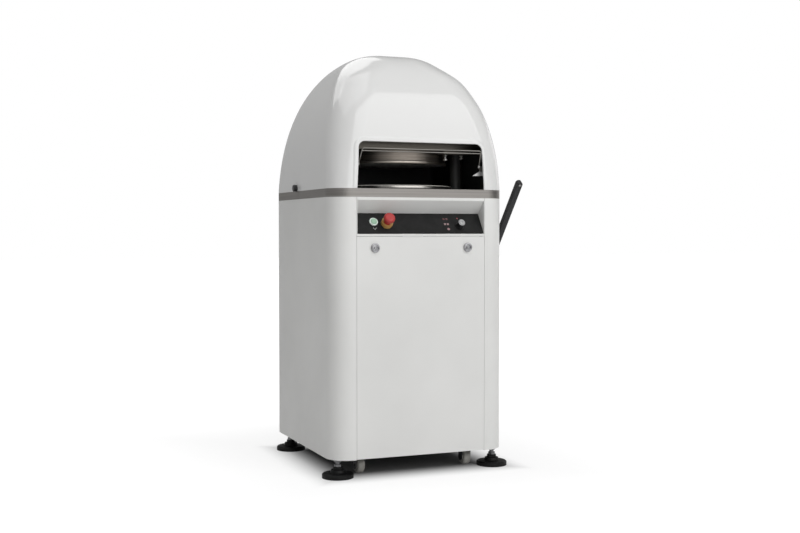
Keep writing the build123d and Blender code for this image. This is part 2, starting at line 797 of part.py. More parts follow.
def hood_hinge():
    """Fixed half on the rear band: leaf, two outer knuckles and the pin."""
    half = HOOD_HINGE_W / 2
    third = HOOD_HINGE_W / 6
    x0 = HOOD_HINGE_X - half
    x1 = HOOD_HINGE_X + half
    leaf = box_between(x0, x1, REAR_Y, REAR_Y + LEAF_T, BAND_TOP - LEAF_H, BAND_TOP - FREE)
    pin = rod_x(HOOD_AXIS_Y, HOOD_AXIS_Z, x0, x1, HOOD_PIN_R)
    for inner, outer in ((-half, -third - FREE), (third + FREE, half)):
        bridge = box_between(
            HOOD_HINGE_X + inner,
            HOOD_HINGE_X + outer,
            REAR_Y,
            HOOD_AXIS_Y,
            BAND_TOP - LEAF_H / 2,
            BAND_TOP - FREE,
        )
        arm = box_between(
            HOOD_HINGE_X + inner,
            HOOD_HINGE_X + outer,
            HOOD_AXIS_Y - LEAF_T,
            HOOD_AXIS_Y + LEAF_T,
            BAND_TOP - LEAF_H / 2,
            HOOD_AXIS_Z,
        )
        leaf += bridge + arm + hinge_knuckles(inner, outer)
    return leaf + pin


def hinge_leaf():
    """Moving half on the hood: leaf against the rear wall and the middle knuckle."""
    third = HOOD_HINGE_W / 6
    x0 = HOOD_HINGE_X - HOOD_HINGE_W / 2
    x1 = HOOD_HINGE_X + HOOD_HINGE_W / 2
    low = HOOD_AXIS_Z + HOOD_KNUCKLE_R + FREE
    leaf = box_between(x0, x1, REAR_Y, REAR_Y + LEAF_T, low, low + LEAF_H)
    web = box_between(
        HOOD_HINGE_X - third,
        HOOD_HINGE_X + third,
        REAR_Y,
        HOOD_AXIS_Y,
        HOOD_AXIS_Z,
        low + LEAF_H / 2,
    )
    leaf += web + hinge_knuckles(-third, third)
    leaf -= dome(-FIT)
    return leaf - rod_x(HOOD_AXIS_Y, HOOD_AXIS_Z, x0, x1, HOOD_PIN_R + RUN)


def hood_knob():
    """Right clamping knob: grip outside the hood, stud in the lug's slot."""
    face = SIDE_X + FREE
    grip = rod_x(KNOB_Y, KNOB_Z, face, face + KNOB_H, KNOB_R)
    grip = fillet(grip.edges().filter_by(GeomType.CIRCLE).sort_by(Axis.X)[-1], KNOB_EDGE_R)
    return grip + rod_x(KNOB_Y, KNOB_Z, face - STUD_LEN, face, STUD_R)


def guard_bracket():
    """Right bracket of the wire guard: foot inside the front wall, and an ear with the wire's eye."""
    x0 = GUARD_PIVOT_X - BRACKET_T
    low = GUARD_Z - BRACKET_DROP
    top = GUARD_Z + BRACKET_RISE
    back = FRONT_Y + HOOD_WALL + FIT + BRACKET_T
    bracket = box_between(x0, WINDOW_HALF + BRACKET_FOOT, FRONT_Y, back, low, top)
    bracket += box_between(x0, GUARD_PIVOT_X, FRONT_Y, GUARD_Y + BRACKET_EYE, low, top)
    bracket &= dome(HOOD_WALL + FIT)
    return bracket - rod_x(GUARD_Y, GUARD_Z, x0, GUARD_PIVOT_X, GUARD_WIRE_R + RUN)


def guard_stop():
    """Three-cornered stop on the right bracket's ear, under the wire."""
    low = GUARD_Z - BRACKET_DROP
    y0 = GUARD_Y - BRACKET_T / 2
    corner_points = [
        (GUARD_PIVOT_X, y0, low),
        (GUARD_PIVOT_X - BRACKET_T - GUARD_STOP_REACH, y0, low),
        (GUARD_PIVOT_X - BRACKET_T, y0, low + GUARD_STOP_H),
        (GUARD_PIVOT_X, y0, low + GUARD_STOP_H),
    ]
    return extrude(make_face(Polyline(corner_points, close=True)), BRACKET_T, dir=(0, 1, 0))


def leg_point(length, x):
    """Point up the guard's leg from its pivot."""
    lean = math.radians(GUARD_LEAN)
    return (x, GUARD_Y - length * math.sin(lean), GUARD_Z + length * math.cos(lean))


def wire_guard():
    end = GUARD_PIVOT_X + FREE
    points = [
        (end, GUARD_Y, GUARD_Z),
        leg_point(0, GUARD_LEG_X),
        leg_point(GUARD_LEG, GUARD_TOP_X),
        leg_point(GUARD_LEG, -GUARD_TOP_X),
        leg_point(0, -GUARD_LEG_X),
        (-end, GUARD_Y, GUARD_Z),
    ]
    path = FilletPolyline(points, radius=[GUARD_FOOT_R, GUARD_BEND_R, GUARD_BEND_R, GUARD_FOOT_R])
    wire = sweep(Plane(path @ 0, z_dir=path % 0) * Circle(GUARD_WIRE_R), path=path)
    bar_at = GUARD_LEG - GUARD_BAR_DROP
    bar_x = GUARD_LEG_X + (GUARD_TOP_X - GUARD_LEG_X) * bar_at / GUARD_LEG
    _, bar_y, bar_z = leg_point(bar_at, 0)
    return wire + rod_x(bar_y, bar_z, -bar_x, bar_x, GUARD_WIRE_R)


# Feet and casters

def foot_pad(x, y):
    profile = Polyline([
        (STEM_R + FIT, STEM_FOOT_Z),
        (STEM_R + FIT, PAD_H),
        (PAD_HUB_R, PAD_H),
        (PAD_HUB_R, PAD_STEP_Z),
        (PAD_STEP_R, PAD_STEP_Z),
        (PAD_STEP_R + PAD_FLARE, PAD_RIM + PAD_RISE),
        (PAD_R - PAD_EDGE, PAD_RIM),
        (PAD_R, PAD_RIM - PAD_EDGE),
        (PAD_R, 0),
        (0, 0),
        (0, STEM_FOOT_Z),
    ], close=True)
    return Pos(x, y) * revolve(Plane.XZ * make_face(profile), Axis.Z)


def foot_stem(x, y):
    low = PAD_H + FREE
    grip = slab(Pos(x, y) * RegularPolygon(NUT_AF / 2, 6, major_radius=False), low, low + STEM_HEX_H)
    return rod(x, y, STEM_FOOT_Z, BASE_TOP, STEM_R) + grip


def foot_nut(x, y):
    hexagon = RegularPolygon(NUT_AF / 2, 6, major_radius=False) - Circle(STEM_R + FIT)
    return slab(Pos(x, y) * hexagon, BASE_Z - NUT_H, BASE_Z)


def caster_fork(x, y):
    axle_z = WHEEL_LIFT + WHEEL_R
    inner = WHEEL_W / 2 + WHEEL_SIDE_GAP
    outer = inner + FORK_T
    half = FORK_PLATE / 2
    fork = box_between(x - half, x + half, y - half, y + half, BASE_Z - FORK_T, BASE_Z)
    for near, far in ((inner, outer), (-outer, -inner)):
        cheek = box_between(x + near, x + far, y - WHEEL_R / 2, y + WHEEL_R / 2, axle_z, BASE_Z - FORK_T)
        fork += cheek + rod_x(y, axle_z, x + near, x + far, WHEEL_R / 2)
    return fork + rod_x(y, axle_z, x - outer - FORK_T, x + outer + FORK_T, AXLE_R)


def caster_wheel(x, y):
    half = WHEEL_W / 2
    face = half - WHEEL_FACE_IN
    dish = half - WHEEL_TREAD
    side = [
        (half, AXLE_R + RUN),
        (half, WHEEL_HUB_R),
        (dish, WHEEL_HUB_R + WHEEL_LIP),
        (dish, WHEEL_DISH_R),
        (face, WHEEL_DISH_R + WHEEL_LIP),
        (face, WHEEL_R - WHEEL_TREAD),
        (dish, WHEEL_R),
    ]
    profile = Polyline(side + [(-across, r) for across, r in reversed(side)], close=True)
    wheel = revolve(Plane.XZ * make_face(profile), Axis.X)
    return Pos(x, y, WHEEL_LIFT + WHEEL_R) * wheel


# Press head

def radial_blades(thickness):
    """Knife plan: two rings and the straight blades between them."""
    edges = (0.0,) + KNIFE_RINGS + (RING_IN_R,)
    plan = None
    for ring in KNIFE_RINGS:
        hoop = Circle(ring + thickness / 2) - Circle(ring - thickness / 2)
        plan = hoop if plan is None else plan + hoop
    for count, near, far in zip(KNIFE_COUNTS, edges, edges[1:]):
        for step in range(count):
            blade = Pos((near + far) / 2, 0) * Rectangle(far - near, thickness)
            plan += Rot(0, 0, 360 * step / count) * blade
    return plan


def cell_places():
    """Middle of every dough cell between the knives."""
    edges = (0.0,) + KNIFE_RINGS + (RING_IN_R,)
    places = []
    for count, near, far in zip(KNIFE_COUNTS, edges, edges[1:]):
        reach = (near + far) / 2 if near else CORE_CELL_R
        for step in range(count):
            angle = math.radians(360 * (step + 0.5) / count)
            places.append((reach * math.cos(angle), reach * math.sin(angle)))
    return places


def knife_set():
    plan = radial_blades(KNIFE_T) & Circle(RING_IN_R - FIT)
    blades = slab(plan, KNIFE_EDGE_Z, CARRIER_Z)
    carrier = Circle(RING_IN_R - FIT)
    hole = POST_SIZE + 2 * POST_GAP
    for x, y in cell_places():
        carrier -= Pos(x, y) * Rectangle(hole, hole)
    return blades + slab(carrier, CARRIER_Z, CARRIER_Z + CARRIER_T)


def press_platen():
    """Thirty press feet on posts under one carrier, with the lifting rod and its piston."""
    feet = Circle(RING_IN_R - PLATEN_RIM_GAP) - radial_blades(KNIFE_T + 2 * KNIFE_GAP)
    platen = slab(Circle(PLATEN_CARRIER_R), PLATEN_CARRIER_Z, PLATEN_CARRIER_Z + PLATEN_CARRIER_T)
    top = PLATEN_CARRIER_Z + PLATEN_CARRIER_T + RAM_ROD_LEN
    platen += rod(0, 0, PLATEN_CARRIER_Z, top, RAM_ROD_R)
    platen += rod(0, 0, top - PISTON_T, top, RAM_BORE_R - FREE)
    posts = Sketch() + [Pos(x, y) * Rectangle(POST_SIZE, POST_SIZE) for x, y in cell_places()]
    platen += slab(posts, PLATEN_Z + PLATEN_T / 2, PLATEN_CARRIER_Z)
    return platen + slab(feet, PLATEN_Z, PLATEN_Z + PLATEN_T)


def press_ring():
    return tube(0, 0, RING_RIM_Z, HEAD_Z, RING_R, RING_IN_R)


def head_casting():
    """Drum that holds the knives, with a lug on each side for its column."""
    roof = HEAD_ROOF_Z + HEAD_TOP
    lug_z = HEAD_Z + HEAD_LEDGE
    head = rod(0, 0, HEAD_Z, roof, HEAD_R)
    for x in (-COLUMN_X, COLUMN_X):
        head += rod(x, 0, lug_z, lug_z + HEAD_LUG_H, HEAD_LUG_R)
        near, far = sorted((math.copysign(RING_R, x), x))
        head += box_between(near, far, -HEAD_WEB_W / 2, HEAD_WEB_W / 2, lug_z, lug_z + HEAD_LUG_H)
    head -= rod(0, 0, HEAD_Z, CARRIER_Z + CARRIER_T, RING_IN_R)
    head -= rod(0, 0, CARRIER_Z + CARRIER_T, HEAD_ROOF_Z, RING_IN_R - HEAD_LEDGE)
    head -= rod(0, 0, HEAD_ROOF_Z, roof, RAM_ROD_R + FREE)
    for x in (-COLUMN_X, COLUMN_X):
        head -= rod(x, 0, lug_z, lug_z + HEAD_LUG_H, COLUMN_R + FIT)
    return head


def ram_cylinder():
    base = HEAD_ROOF_Z + HEAD_TOP
    top = base + RAM_H
    body = rod(0, 0, base, top, RAM_R)
    body -= rod(0, 0, base + RAM_CAP, top - RAM_CAP, RAM_BORE_R)
    return body - rod(0, 0, base, base + RAM_CAP, RAM_ROD_R + RUN)


def press_columns():
    return [rod(x, 0, YOKE_Z, COLUMN_TOP_Z, COLUMN_R) for x in (-COLUMN_X, COLUMN_X)]


def lower_yoke():
    beam = SlotOverall(2 * (COLUMN_X + YOKE_END), YOKE_W)
    for x in (-COLUMN_X, COLUMN_X):
        beam -= Pos(x, 0) * Circle(COLUMN_R + FIT)
    beam -= Circle(ROD_SPIGOT_R + FIT)
    return slab(beam, YOKE_Z, YOKE_Z + YOKE_H)


def press_rod():
    piston = rod(0, 0, ROD_PISTON_Z, ROD_PISTON_Z + ROD_PISTON_T, CYL_BORE_R - FREE)
    piston += rod(0, 0, ROD_PISTON_Z, YOKE_Z, ROD_R)
    return piston + rod(0, 0, YOKE_Z, YOKE_Z + YOKE_H, ROD_SPIGOT_R)


def press_cylinder():
    body = rod(0, 0, BASE_TOP, CYL_TOP_Z, CYL_R)
    body -= rod(0, 0, BASE_TOP + CYL_CAP, CYL_TOP_Z - CYL_GLAND, CYL_BORE_R)
    return body - rod(0, 0, CYL_TOP_Z - CYL_GLAND, CYL_TOP_Z, ROD_R + RUN)


def oil_tank():
    length, width, height = TANK
    plan = fillet(Rectangle(length, width).vertices(), TANK_EDGE_R)
    return slab(Pos(*TANK_AT) * plan, BASE_TOP, BASE_TOP + height)


def finned(radius):
    """Motor section: round body with cooling fins."""
    body = Circle(radius - FIN_DEPTH)
    for step in range(MOTOR_FINS):
        fin = Pos(radius - FIN_DEPTH, 0) * Rectangle(2 * FIN_DEPTH, FIN_W)
        body += Rot(0, 0, 360 * (step + 0.5) / MOTOR_FINS) * fin
    return body


def pump_motor():
    low = BASE_TOP + TANK[2]
    x, y = TANK_AT
    return slab(Pos(x, y) * finned(PUMP_R), low, low + PUMP_H)


# Rounding drive

def belt_loop(offset):
    """Outline round both pulleys, a given distance outside their rims."""
    large = Circle(PULLEY_R + offset)
    small = Pos(0, MOTOR_Y) * Circle(MOTOR_PULLEY_R + offset)
    return make_hull(large.edges() + small.edges())


def drive_casting():
    plate = make_hull(Circle(CASTING_R).edges() + (Pos(0, MOTOR_Y) * Circle(MOTOR_R)).edges())
    casting = slab(plate, CASTING_Z, BAND_Z)
    casting += rod(0, 0, HOUSING_Z, CASTING_Z, HOUSING_R)
    casting -= rod(0, 0, HOUSING_Z, BAND_Z, HOUSING_BORE_R)
    casting -= rod(0, 0, HOUSING_Z, HOUSING_Z + BEARING_W, BEARING_R)
    return casting - rod(0, 0, BAND_Z - BEARING_W, BAND_Z, BEARING_R)


def shaft_bearings():
    return [
        tube(0, 0, HOUSING_Z, HOUSING_Z + BEARING_W, BEARING_R, SHAFT_R + RUN),
        tube(0, 0, BAND_Z - BEARING_W, BAND_Z, BEARING_R, SHAFT_R + RUN),
    ]


def eccentric_shaft():
    shaft = rod(0, 0, PULLEY_Z, CRANK_Z, SHAFT_R)
    shaft += rod(0, 0, CRANK_Z, CRANK_TOP, CRANK_DISC_R)
    return shaft + rod(ECCENTRIC, 0, CRANK_TOP, CRANK_TOP + PIN_H, ECC_PIN_R)


def support_crank(x):
    crank = rod(x, 0, BAND_Z - FREE - IDLER_COLLAR_H, CRANK_Z, IDLER_R)
    crank += rod(x, 0, BAND_Z - FREE - IDLER_COLLAR_H, BAND_Z - FREE, IDLER_COLLAR_R)
    crank += rod(x, 0, CRANK_Z, CRANK_TOP, IDLER_DISC_R)
    return crank + rod(x + ECCENTRIC, 0, CRANK_TOP, CRANK_TOP + PIN_H, IDLER_PIN_R)


def rounding_table():
    table = rod(ECCENTRIC, 0, TABLE_Z, TABLE_TOP, TABLE_R)
    deep = CRANK_TOP + PIN_H + FREE
    table -= rod(ECCENTRIC, 0, TABLE_Z, deep, ECC_PIN_R + RUN)
    for x in (-IDLER_X, IDLER_X):
        table -= rod(x + ECCENTRIC, 0, TABLE_Z, deep, IDLER_PIN_R + RUN)
    return table


def moulding_plate():
    plate = rod(ECCENTRIC, 0, TABLE_TOP, TABLE_TOP + MOULDING_T, TABLE_R)
    return fillet(plate.edges().filter_by(GeomType.CIRCLE).sort_by(Axis.Z)[-1], MOULDING_EDGE_R)


def pulley_wheel(radius, bore, web, rim, hub):
    """Flat-belt pulley about Z: rim, web and hub in one section."""
    half = PULLEY_W / 2
    profile = Polyline([
        (bore, -half),
        (hub, -half),
        (hub, -web / 2),
        (radius - rim, -web / 2),
        (radius - rim, -half),
        (radius, -half),
        (radius, half),
        (radius - rim, half),
        (radius - rim, web / 2),
        (hub, web / 2),
        (hub, half),
        (bore, half),
    ], close=True)
    return revolve(Plane.XZ * make_face(profile), Axis.Z)


def driven_pulley():
    wheel = pulley_wheel(PULLEY_R, SHAFT_R + FIT, PULLEY_WEB, PULLEY_RIM, PULLEY_HUB_R)
    return Pos(0, 0, PULLEY_Z + PULLEY_W / 2) * wheel


def motor_pulley():
    low = CASTING_Z - MOTOR_H
    pulley = rod(0, MOTOR_Y, PULLEY_Z, PULLEY_Z + PULLEY_W, MOTOR_PULLEY_R)
    return pulley + rod(0, MOTOR_Y, PULLEY_Z, low + 2 * MOTOR_SHAFT_R, MOTOR_SHAFT_R)


def drive_motor():
    low = CASTING_Z - MOTOR_H
    body = slab(Pos(0, MOTOR_Y) * finned(MOTOR_R), low, CASTING_Z)
    return body - rod(0, MOTOR_Y, low, low + 2 * MOTOR_SHAFT_R + FREE, MOTOR_SHAFT_R + RUN)


def drive_belt():
    loop = belt_loop(FREE + BELT_T) - belt_loop(FREE)
    low = PULLEY_Z + (PULLEY_W - BELT_W) / 2
    return slab(loop, low, low + BELT_W)


# Side lever

def lever_bush():
    body = rod_x(LEVER_Y, LEVER_Z, SIDE_X - BUSH_DEPTH, SIDE_X, BUSH_BODY_R)
    body += rod_x(LEVER_Y, LEVER_Z, SIDE_X, SIDE_X + BUSH_RIM_T, BUSH_RIM_R)
    return body - rod_x(LEVER_Y, LEVER_Z, SIDE_X - BUSH_DEPTH, SIDE_X + BUSH_RIM_T, LEVER_SHAFT_R + RUN)


def side_lever():
    """Hand lever with its boss and shaft, and the crank welded to the shaft's inner end."""
    middle = LEVER_X + LEVER_W / 2
    outer = LEVER_X + LEVER_W
    hole_at = LEVER_LEN - LEVER_W / 2
    bar = extrude(Pos(hole_at / 2, 0) * SlotCenterToCenter(hole_at, LEVER_W), LEVER_T / 2, both=True)
    bar = fillet(bar.faces().filter_by(Axis.Z).edges(), LEVER_EDGE_R)
    bar -= Pos(hole_at, 0) * Cylinder(LEVER_HOLE_R, LEVER_T)
    rake = math.radians(LEVER_RAKE)
    up = (0, -math.cos(rake), math.sin(rake))
    face = (0, -math.sin(rake), -math.cos(rake))
    lever = Plane(origin=(middle, LEVER_Y, LEVER_Z), x_dir=up, z_dir=face).location * bar
    lever += rod_x(LEVER_Y, LEVER_Z, SIDE_X + BUSH_RIM_T + FREE, outer, LEVER_BOSS_R)
    inner = SIDE_X - LEVER_SHAFT_IN
    lever += rod_x(LEVER_Y, LEVER_Z, inner, outer, LEVER_SHAFT_R)
    crank = extrude(Pos(LEVER_CRANK / 2, 0) * SlotCenterToCenter(LEVER_CRANK, LEVER_CRANK_W), LEVER_CRANK_T)
    hang = Plane(origin=(inner, LEVER_Y, LEVER_Z), x_dir=face, z_dir=(1, 0, 0))
    return lever + hang.location * crank


# All pieces

def main():
    feet = corners(FOOT_X, FOOT_Y)
    casters = corners(CASTER_X, CASTER_Y)
    save("base_plate", base_plate())
    save("corner_posts", *corner_posts())
    save("left_side_panel", mirrored(side_panel()))
    save("right_side_panel", right_side_panel())
    save("rear_panel", rear_panel())
    save("cable_gland", cable_gland())
    save("front_band", front_band())
    save("rear_band", rear_band())
    save("deck_plate", deck_plate())
    save("guide_bushes", guide_bush(-COLUMN_X), guide_bush(COLUMN_X))
    save("control_fascia", control_fascia())
    save("control_plate", control_plate())
    save("indicator_lenses", *indicator_lenses())
    save("start_bezel", start_bezel())
    save("start_button", start_button())
    save("stop_collar", stop_collar())
    save("stop_button", stop_button())
    save("timer_knob", timer_knob())
    save("front_door", front_door())
    save("door_lock_left", door_lock(-LOCK_X))
    save("door_lock_right", door_lock(LOCK_X))
    save("hood_shell", hood_shell())
    save("hood_hinges", *both_sides(hood_hinge()))
    save("hinge_leaves", *both_sides(hinge_leaf()))
    save("hood_knob_left", mirrored(hood_knob()))
    save("hood_knob_right", hood_knob())
    save("guard_brackets", mirrored(guard_bracket()), guard_bracket() + guard_stop())
    save("wire_guard", wire_guard())
    save("foot_pads", *[foot_pad(x, y) for x, y in feet])
    save("foot_stems", *[foot_stem(x, y) for x, y in feet])
    save("foot_nuts", *[foot_nut(x, y) for x, y in feet])
    save("caster_forks", *[caster_fork(x, y) for x, y in casters])
    names = ("front_left", "front_right", "rear_left", "rear_right")
    for name, (x, y) in zip(names, casters):
        save(f"caster_wheel_{name}", caster_wheel(x, y))
    save("head_casting", head_casting())
    save("press_ring", press_ring())
    save("knife_set", knife_set())
    save("press_platen", press_platen())
    save("ram_cylinder", ram_cylinder())
    save("press_columns", *press_columns())
    save("lower_yoke", lower_yoke())
    save("press_rod", press_rod())
    save("press_cylinder", press_cylinder())
    save("oil_tank", oil_tank())
    save("pump_motor", pump_motor())
    save("drive_casting", drive_casting())
    save("shaft_bearings", *shaft_bearings())
    save("eccentric_shaft", eccentric_shaft())
    save("support_crank_left", support_crank(-IDLER_X))
    save("support_crank_right", support_crank(IDLER_X))
    save("rounding_table", rounding_table())
    save("moulding_plate", moulding_plate())
    save("driven_pulley", driven_pulley())
    save("motor_pulley", motor_pulley())
    save("drive_motor", drive_motor())
    save("drive_belt", drive_belt())
    save("lever_bush", lever_bush())
    save("side_lever", side_lever())


main()
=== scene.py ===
"""Dough divider rounder: finishes, fittings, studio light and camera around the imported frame."""

import math
from contextlib import contextmanager
from functools import partial

import bpy
from mathutils import Matrix, Vector

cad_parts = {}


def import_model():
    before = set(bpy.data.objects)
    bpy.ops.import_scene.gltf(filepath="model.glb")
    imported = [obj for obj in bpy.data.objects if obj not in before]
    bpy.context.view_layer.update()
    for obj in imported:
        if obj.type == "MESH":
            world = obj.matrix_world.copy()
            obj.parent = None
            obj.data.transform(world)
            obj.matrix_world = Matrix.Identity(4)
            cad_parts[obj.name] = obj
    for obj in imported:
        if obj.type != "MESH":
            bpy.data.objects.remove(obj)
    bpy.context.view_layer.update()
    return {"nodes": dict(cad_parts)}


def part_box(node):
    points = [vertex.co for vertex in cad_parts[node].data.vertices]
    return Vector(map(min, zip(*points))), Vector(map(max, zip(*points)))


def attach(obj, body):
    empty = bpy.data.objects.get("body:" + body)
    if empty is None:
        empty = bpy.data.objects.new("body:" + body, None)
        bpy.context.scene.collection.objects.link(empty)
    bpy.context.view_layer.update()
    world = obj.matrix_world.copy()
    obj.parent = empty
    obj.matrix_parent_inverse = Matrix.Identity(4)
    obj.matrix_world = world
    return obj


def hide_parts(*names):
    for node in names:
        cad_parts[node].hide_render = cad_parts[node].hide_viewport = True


# Directions of the shared frame, in which all lengths are metres
RIGHT = Vector((1, 0, 0))
REAR = Vector((0, 1, 0))
UP = Vector((0, 0, 1))
DOWN = -UP
SIDES = (-1, 1)
FACING_FRONT = (math.pi / 2, 0, 0)

# How near an edge lies to the place that it is picked by
NEAR = 0.0005

# Camera of the photograph
CAMERA_AT = (-1.6056, -4.0492, 0.8576)
CAMERA_PITCH = math.radians(90 - 1.82)
CAMERA_TURN = math.radians(-22.23)
LENS_MM = 52.1
SENSOR_MM = 36.0

# Light of the studio's walls: on matt surfaces, from above, and as shiny surfaces mirror it
FILL_LEVEL = 0.20
CEILING_LEVEL = 0.42
MIRRORED_LEVEL = 0.40
MIRRORED_UP_TO = 0.28
MIRRORED_GONE = 0.45

# Studio floor: its grey in the light and in the camera's view, and how its painted glow fades in
# away from the machine, which leaves painted shade close to the machine
FLOOR_SIZE = 60
FLOOR_GREY = 0.75
FLOOR_GREY_SEEN = 0.27
MACHINE_HALF_X = 0.26
MACHINE_HALF_Y = 0.25
NEAR_PAINTED_GLOW = (-0.03, 0.17, 0.75)
FAR_PAINTED_GLOW = (0.1, 1.4, 0.25)

# Soft boxes: place, target, width, height, and power in watts
SOFT_BOXES = {
    "front_right_box": ((0.95, -3.95, 3.36), (0, 0, 1.2), 5.2, 5.3, 172),
    "rear_box": ((-0.76, 2.83, 4.13), (0, 0, 1.4), 3.9, 1.8, 31),
    "left_box": ((-3.6, -2.2, 2.0), (0, 0, 0.9), 1.8, 2.4, 0.8),
    "left_top_box": ((-1.25, 0.25, 4.5), (0, 0, 1.2), 3.0, 3.0, 29),
    "right_box": ((3.4, 1.4, 1.3), (0, 0, 0.9), 2.0, 2.0, 9),
}

# Hood: a point inside it, where its front wall starts, and how far the white rim reaches; inner
# faces beyond the rim get painted shade
HOOD_MIDDLE = (0, 0, 1.12)
HOOD_FRONT = -0.285
HOOD_RIM = 0.004
BACK_FACING = 0.75
INSIDE_ROUGH = 0.7

# Press ring: a wall whose normal points this far towards the axis is an inner one, and gets painted
# shade
RING_INWARDS = -0.05

# Feed window in the hood's front
WINDOW_LOW = 1.0
WINDOW_HALF = 0.241
WINDOW_RISE = 0.162
WINDOW_ROUND = 0.023
WINDOW_TAPER = 0.008 / WINDOW_RISE

# Raised land round the feed window
LAND_INNER = 0.0015
LAND_WIDTH = 0.018
LAND_TOP = 0.009
LAND_RISE = 0.0022
LAND_ROOT = 0.0008
LAND_FOOT = 0.0015
LAND_AHEAD = -0.45
LAND_MIDDLE = 0.001

# Apron across the press head, and its tab that carries two hanging screws
APRON_FRONT = -0.2285
APRON_HALF = 0.296
APRON_LOW = 1.1415
APRON_HEIGHT = 0.064
APRON_RETURN = 0.206
SHEET = 0.0035
TAB_X = 0.182
TAB_WIDTH = 0.108
TAB_DROP = 0.010
TAB_DEPTH = 0.058
HANGING_Y = -0.186

# Legs of the wire guard: their foot, how they lean to the front, and inwards
LEG_X = 0.231
LEG_Y = -0.300
LEG_Z = 1.075
LEG_LEAN = math.radians(28.5)
LEG_INWARDS = 0.0065 / 0.0705

# Hand lever on the right side: its pivot, rake, square bar, boss, shaft and crank
LEVER_Y = -0.100
LEVER_Z = 0.698
LEVER_RAKE = math.radians(50.3)
LEVER_INNER = 0.345
LEVER_WIDE = 0.022
LEVER_THICK = 0.020
LEVER_BACK = -0.007
LEVER_REACH = 0.434
LEVER_ROUND = 0.0098
LEVER_HOLE = 0.0038
LEVER_CUT = 0.03
BOSS_INNER = 0.3393
SHAFT_INNER = 0.288
SHAFT_OVERLAP = 0.002
CRANK_HALF = 0.017
CRANK_REACH = 0.069
CRANK_THICK = 0.008
CRANK_ROUND = 0.0165

# Cups of the moulding plate: how many, and how far their middles are from the plate's
CUP_RINGS = ((4, 0.0384), (10, 0.098), (16, 0.171))
PLATE_EDGE = 0.003
PLATE_SIDES = 128

# Control plate: its middle, and the directions up the slope and out of the plate
PLATE_MIDDLE = Vector((0, -0.3005, 0.879))
PLATE_UP = Vector((0, 0.049, 0.072)).normalized()
PLATE_OUT = Vector((0, -0.072, 0.049)).normalized()

# Indicator lenses: the heights that they lie between, the shares of that height at which the
# two rows above the round lens start, and where the pilot lamp starts
LENSES_LOW = 0.85
LENSES_HIGH = 0.91
PALE_ROW_FROM = 0.3
ROSE_ROW_FROM = 0.6
PILOT_X = 0.13

# Screws on the rear panel, the hinge leaves and the casters' plates
REAR_SCREW_X = 0.288
REAR_SCREW_Z = (0.10, 0.38, 0.66, 0.94)
LEAF_THICK = 0.003
LEAF_SCREW_X = (-0.200, -0.160, 0.160, 0.200)
LOW_LEAF_Z = 0.982
HOOD_LEAF_Z = 1.028
CASTER_X = 0.205
CASTER_Y = 0.241
CASTER_HOLE = 0.023
CASTER_PLATE = 0.003


def grey(level):
    """Linear value of a grey level from 0 to 255."""
    v = level / 255
    return v / 12.92 if v <= 0.04045 else ((v + 0.055) / 1.055) ** 2.4


def tone(red, green, blue):
    """Linear colour of three levels from 0 to 255."""
    return (grey(red), grey(green), grey(blue))


# Nodes of the finishes, in the tree of a material or the world

def set_inputs(made, values):
    """Sets plain values on a node's sockets, whose names have _ for a space."""
    for key, value in values.items():
        made.inputs[key.replace("_", " ")].default_value = value


def node(owner, kind, **values):
    made = owner.node_tree.nodes.new(kind)
    set_inputs(made, values)
    return made


def link(owner, start, end):
    owner.node_tree.links.new(start, end)


def feed(owner, source, socket):
    """Links another node's output to a socket, or sets a plain value on it."""
    if isinstance(source, bpy.types.NodeSocket):
        link(owner, source, socket)
    else:
        socket.default_value = source


def math_node(owner, operation, first, second=0.0):
    made = node(owner, "ShaderNodeMath")
    made.operation = operation
    feed(owner, first, made.inputs[0])
    feed(owner, second, made.inputs[1])
    return made.outputs["Value"]


def vector_node(owner, operation, first, second):
    made = node(owner, "ShaderNodeVectorMath")
    made.operation = operation
    feed(owner, first, made.inputs[0])
    feed(owner, second, made.inputs[1])
    return made.outputs


def split(owner, vector):
    """X, Y and Z of a vector."""
    parts = node(owner, "ShaderNodeSeparateXYZ")
    link(owner, vector, parts.inputs["Vector"])
    return parts.outputs


def span(owner, value, start=0.0, end=1.0, low=0.0, high=1.0, easing="LINEAR"):
    """Value between start and end, mapped to low and high."""
    made = node(owner, "ShaderNodeMapRange")
    made.interpolation_type = easing
    feed(owner, value, made.inputs["Value"])
    feed(owner, start, made.inputs["From Min"])
    feed(owner, end, made.inputs["From Max"])
    feed(owner, low, made.inputs["To Min"])
    feed(owner, high, made.inputs["To Max"])
    return made.outputs["Result"]


def mix_colour(owner, share, first, second):
    """First colour, and the second one where share is 1."""
    mix = node(owner, "ShaderNodeMix")
    mix.data_type = "RGBA"
    link(owner, share, mix.inputs[0])
    link(owner, first, mix.inputs[6])
    mix.inputs[7].default_value = (*second, 1)
    return mix.outputs[2]


def places(owner):
    """Outputs of a Texture Coordinate node."""
    return node(owner, "ShaderNodeTexCoord").outputs


def grain(material, scale, stretch=(1, 1, 1), detail=2.0):
    """Noise on Object coordinates, longer along the axes whose stretch is small."""
    mapping = node(material, "ShaderNodeMapping", Scale=stretch)
    noise = node(material, "ShaderNodeTexNoise", Scale=scale, Detail=detail)
    link(material, places(material)["Object"], mapping.inputs["Vector"])
    link(material, mapping.outputs["Vector"], noise.inputs["Vector"])
    return noise.outputs["Fac"]


# Finishes

def shader_of(material):
    return material.node_tree.nodes["Principled BSDF"]


def tune(material, **values):
    """Sets plain values on the shader's own sockets."""
    set_inputs(shader_of(material), values)


def finish(name, colour, roughness, metallic=0.0):
    material = bpy.data.materials.new(name)
    material.use_nodes = True
    tune(material, Base_Color=(*colour, 1), Roughness=roughness, Metallic=metallic)
    return material


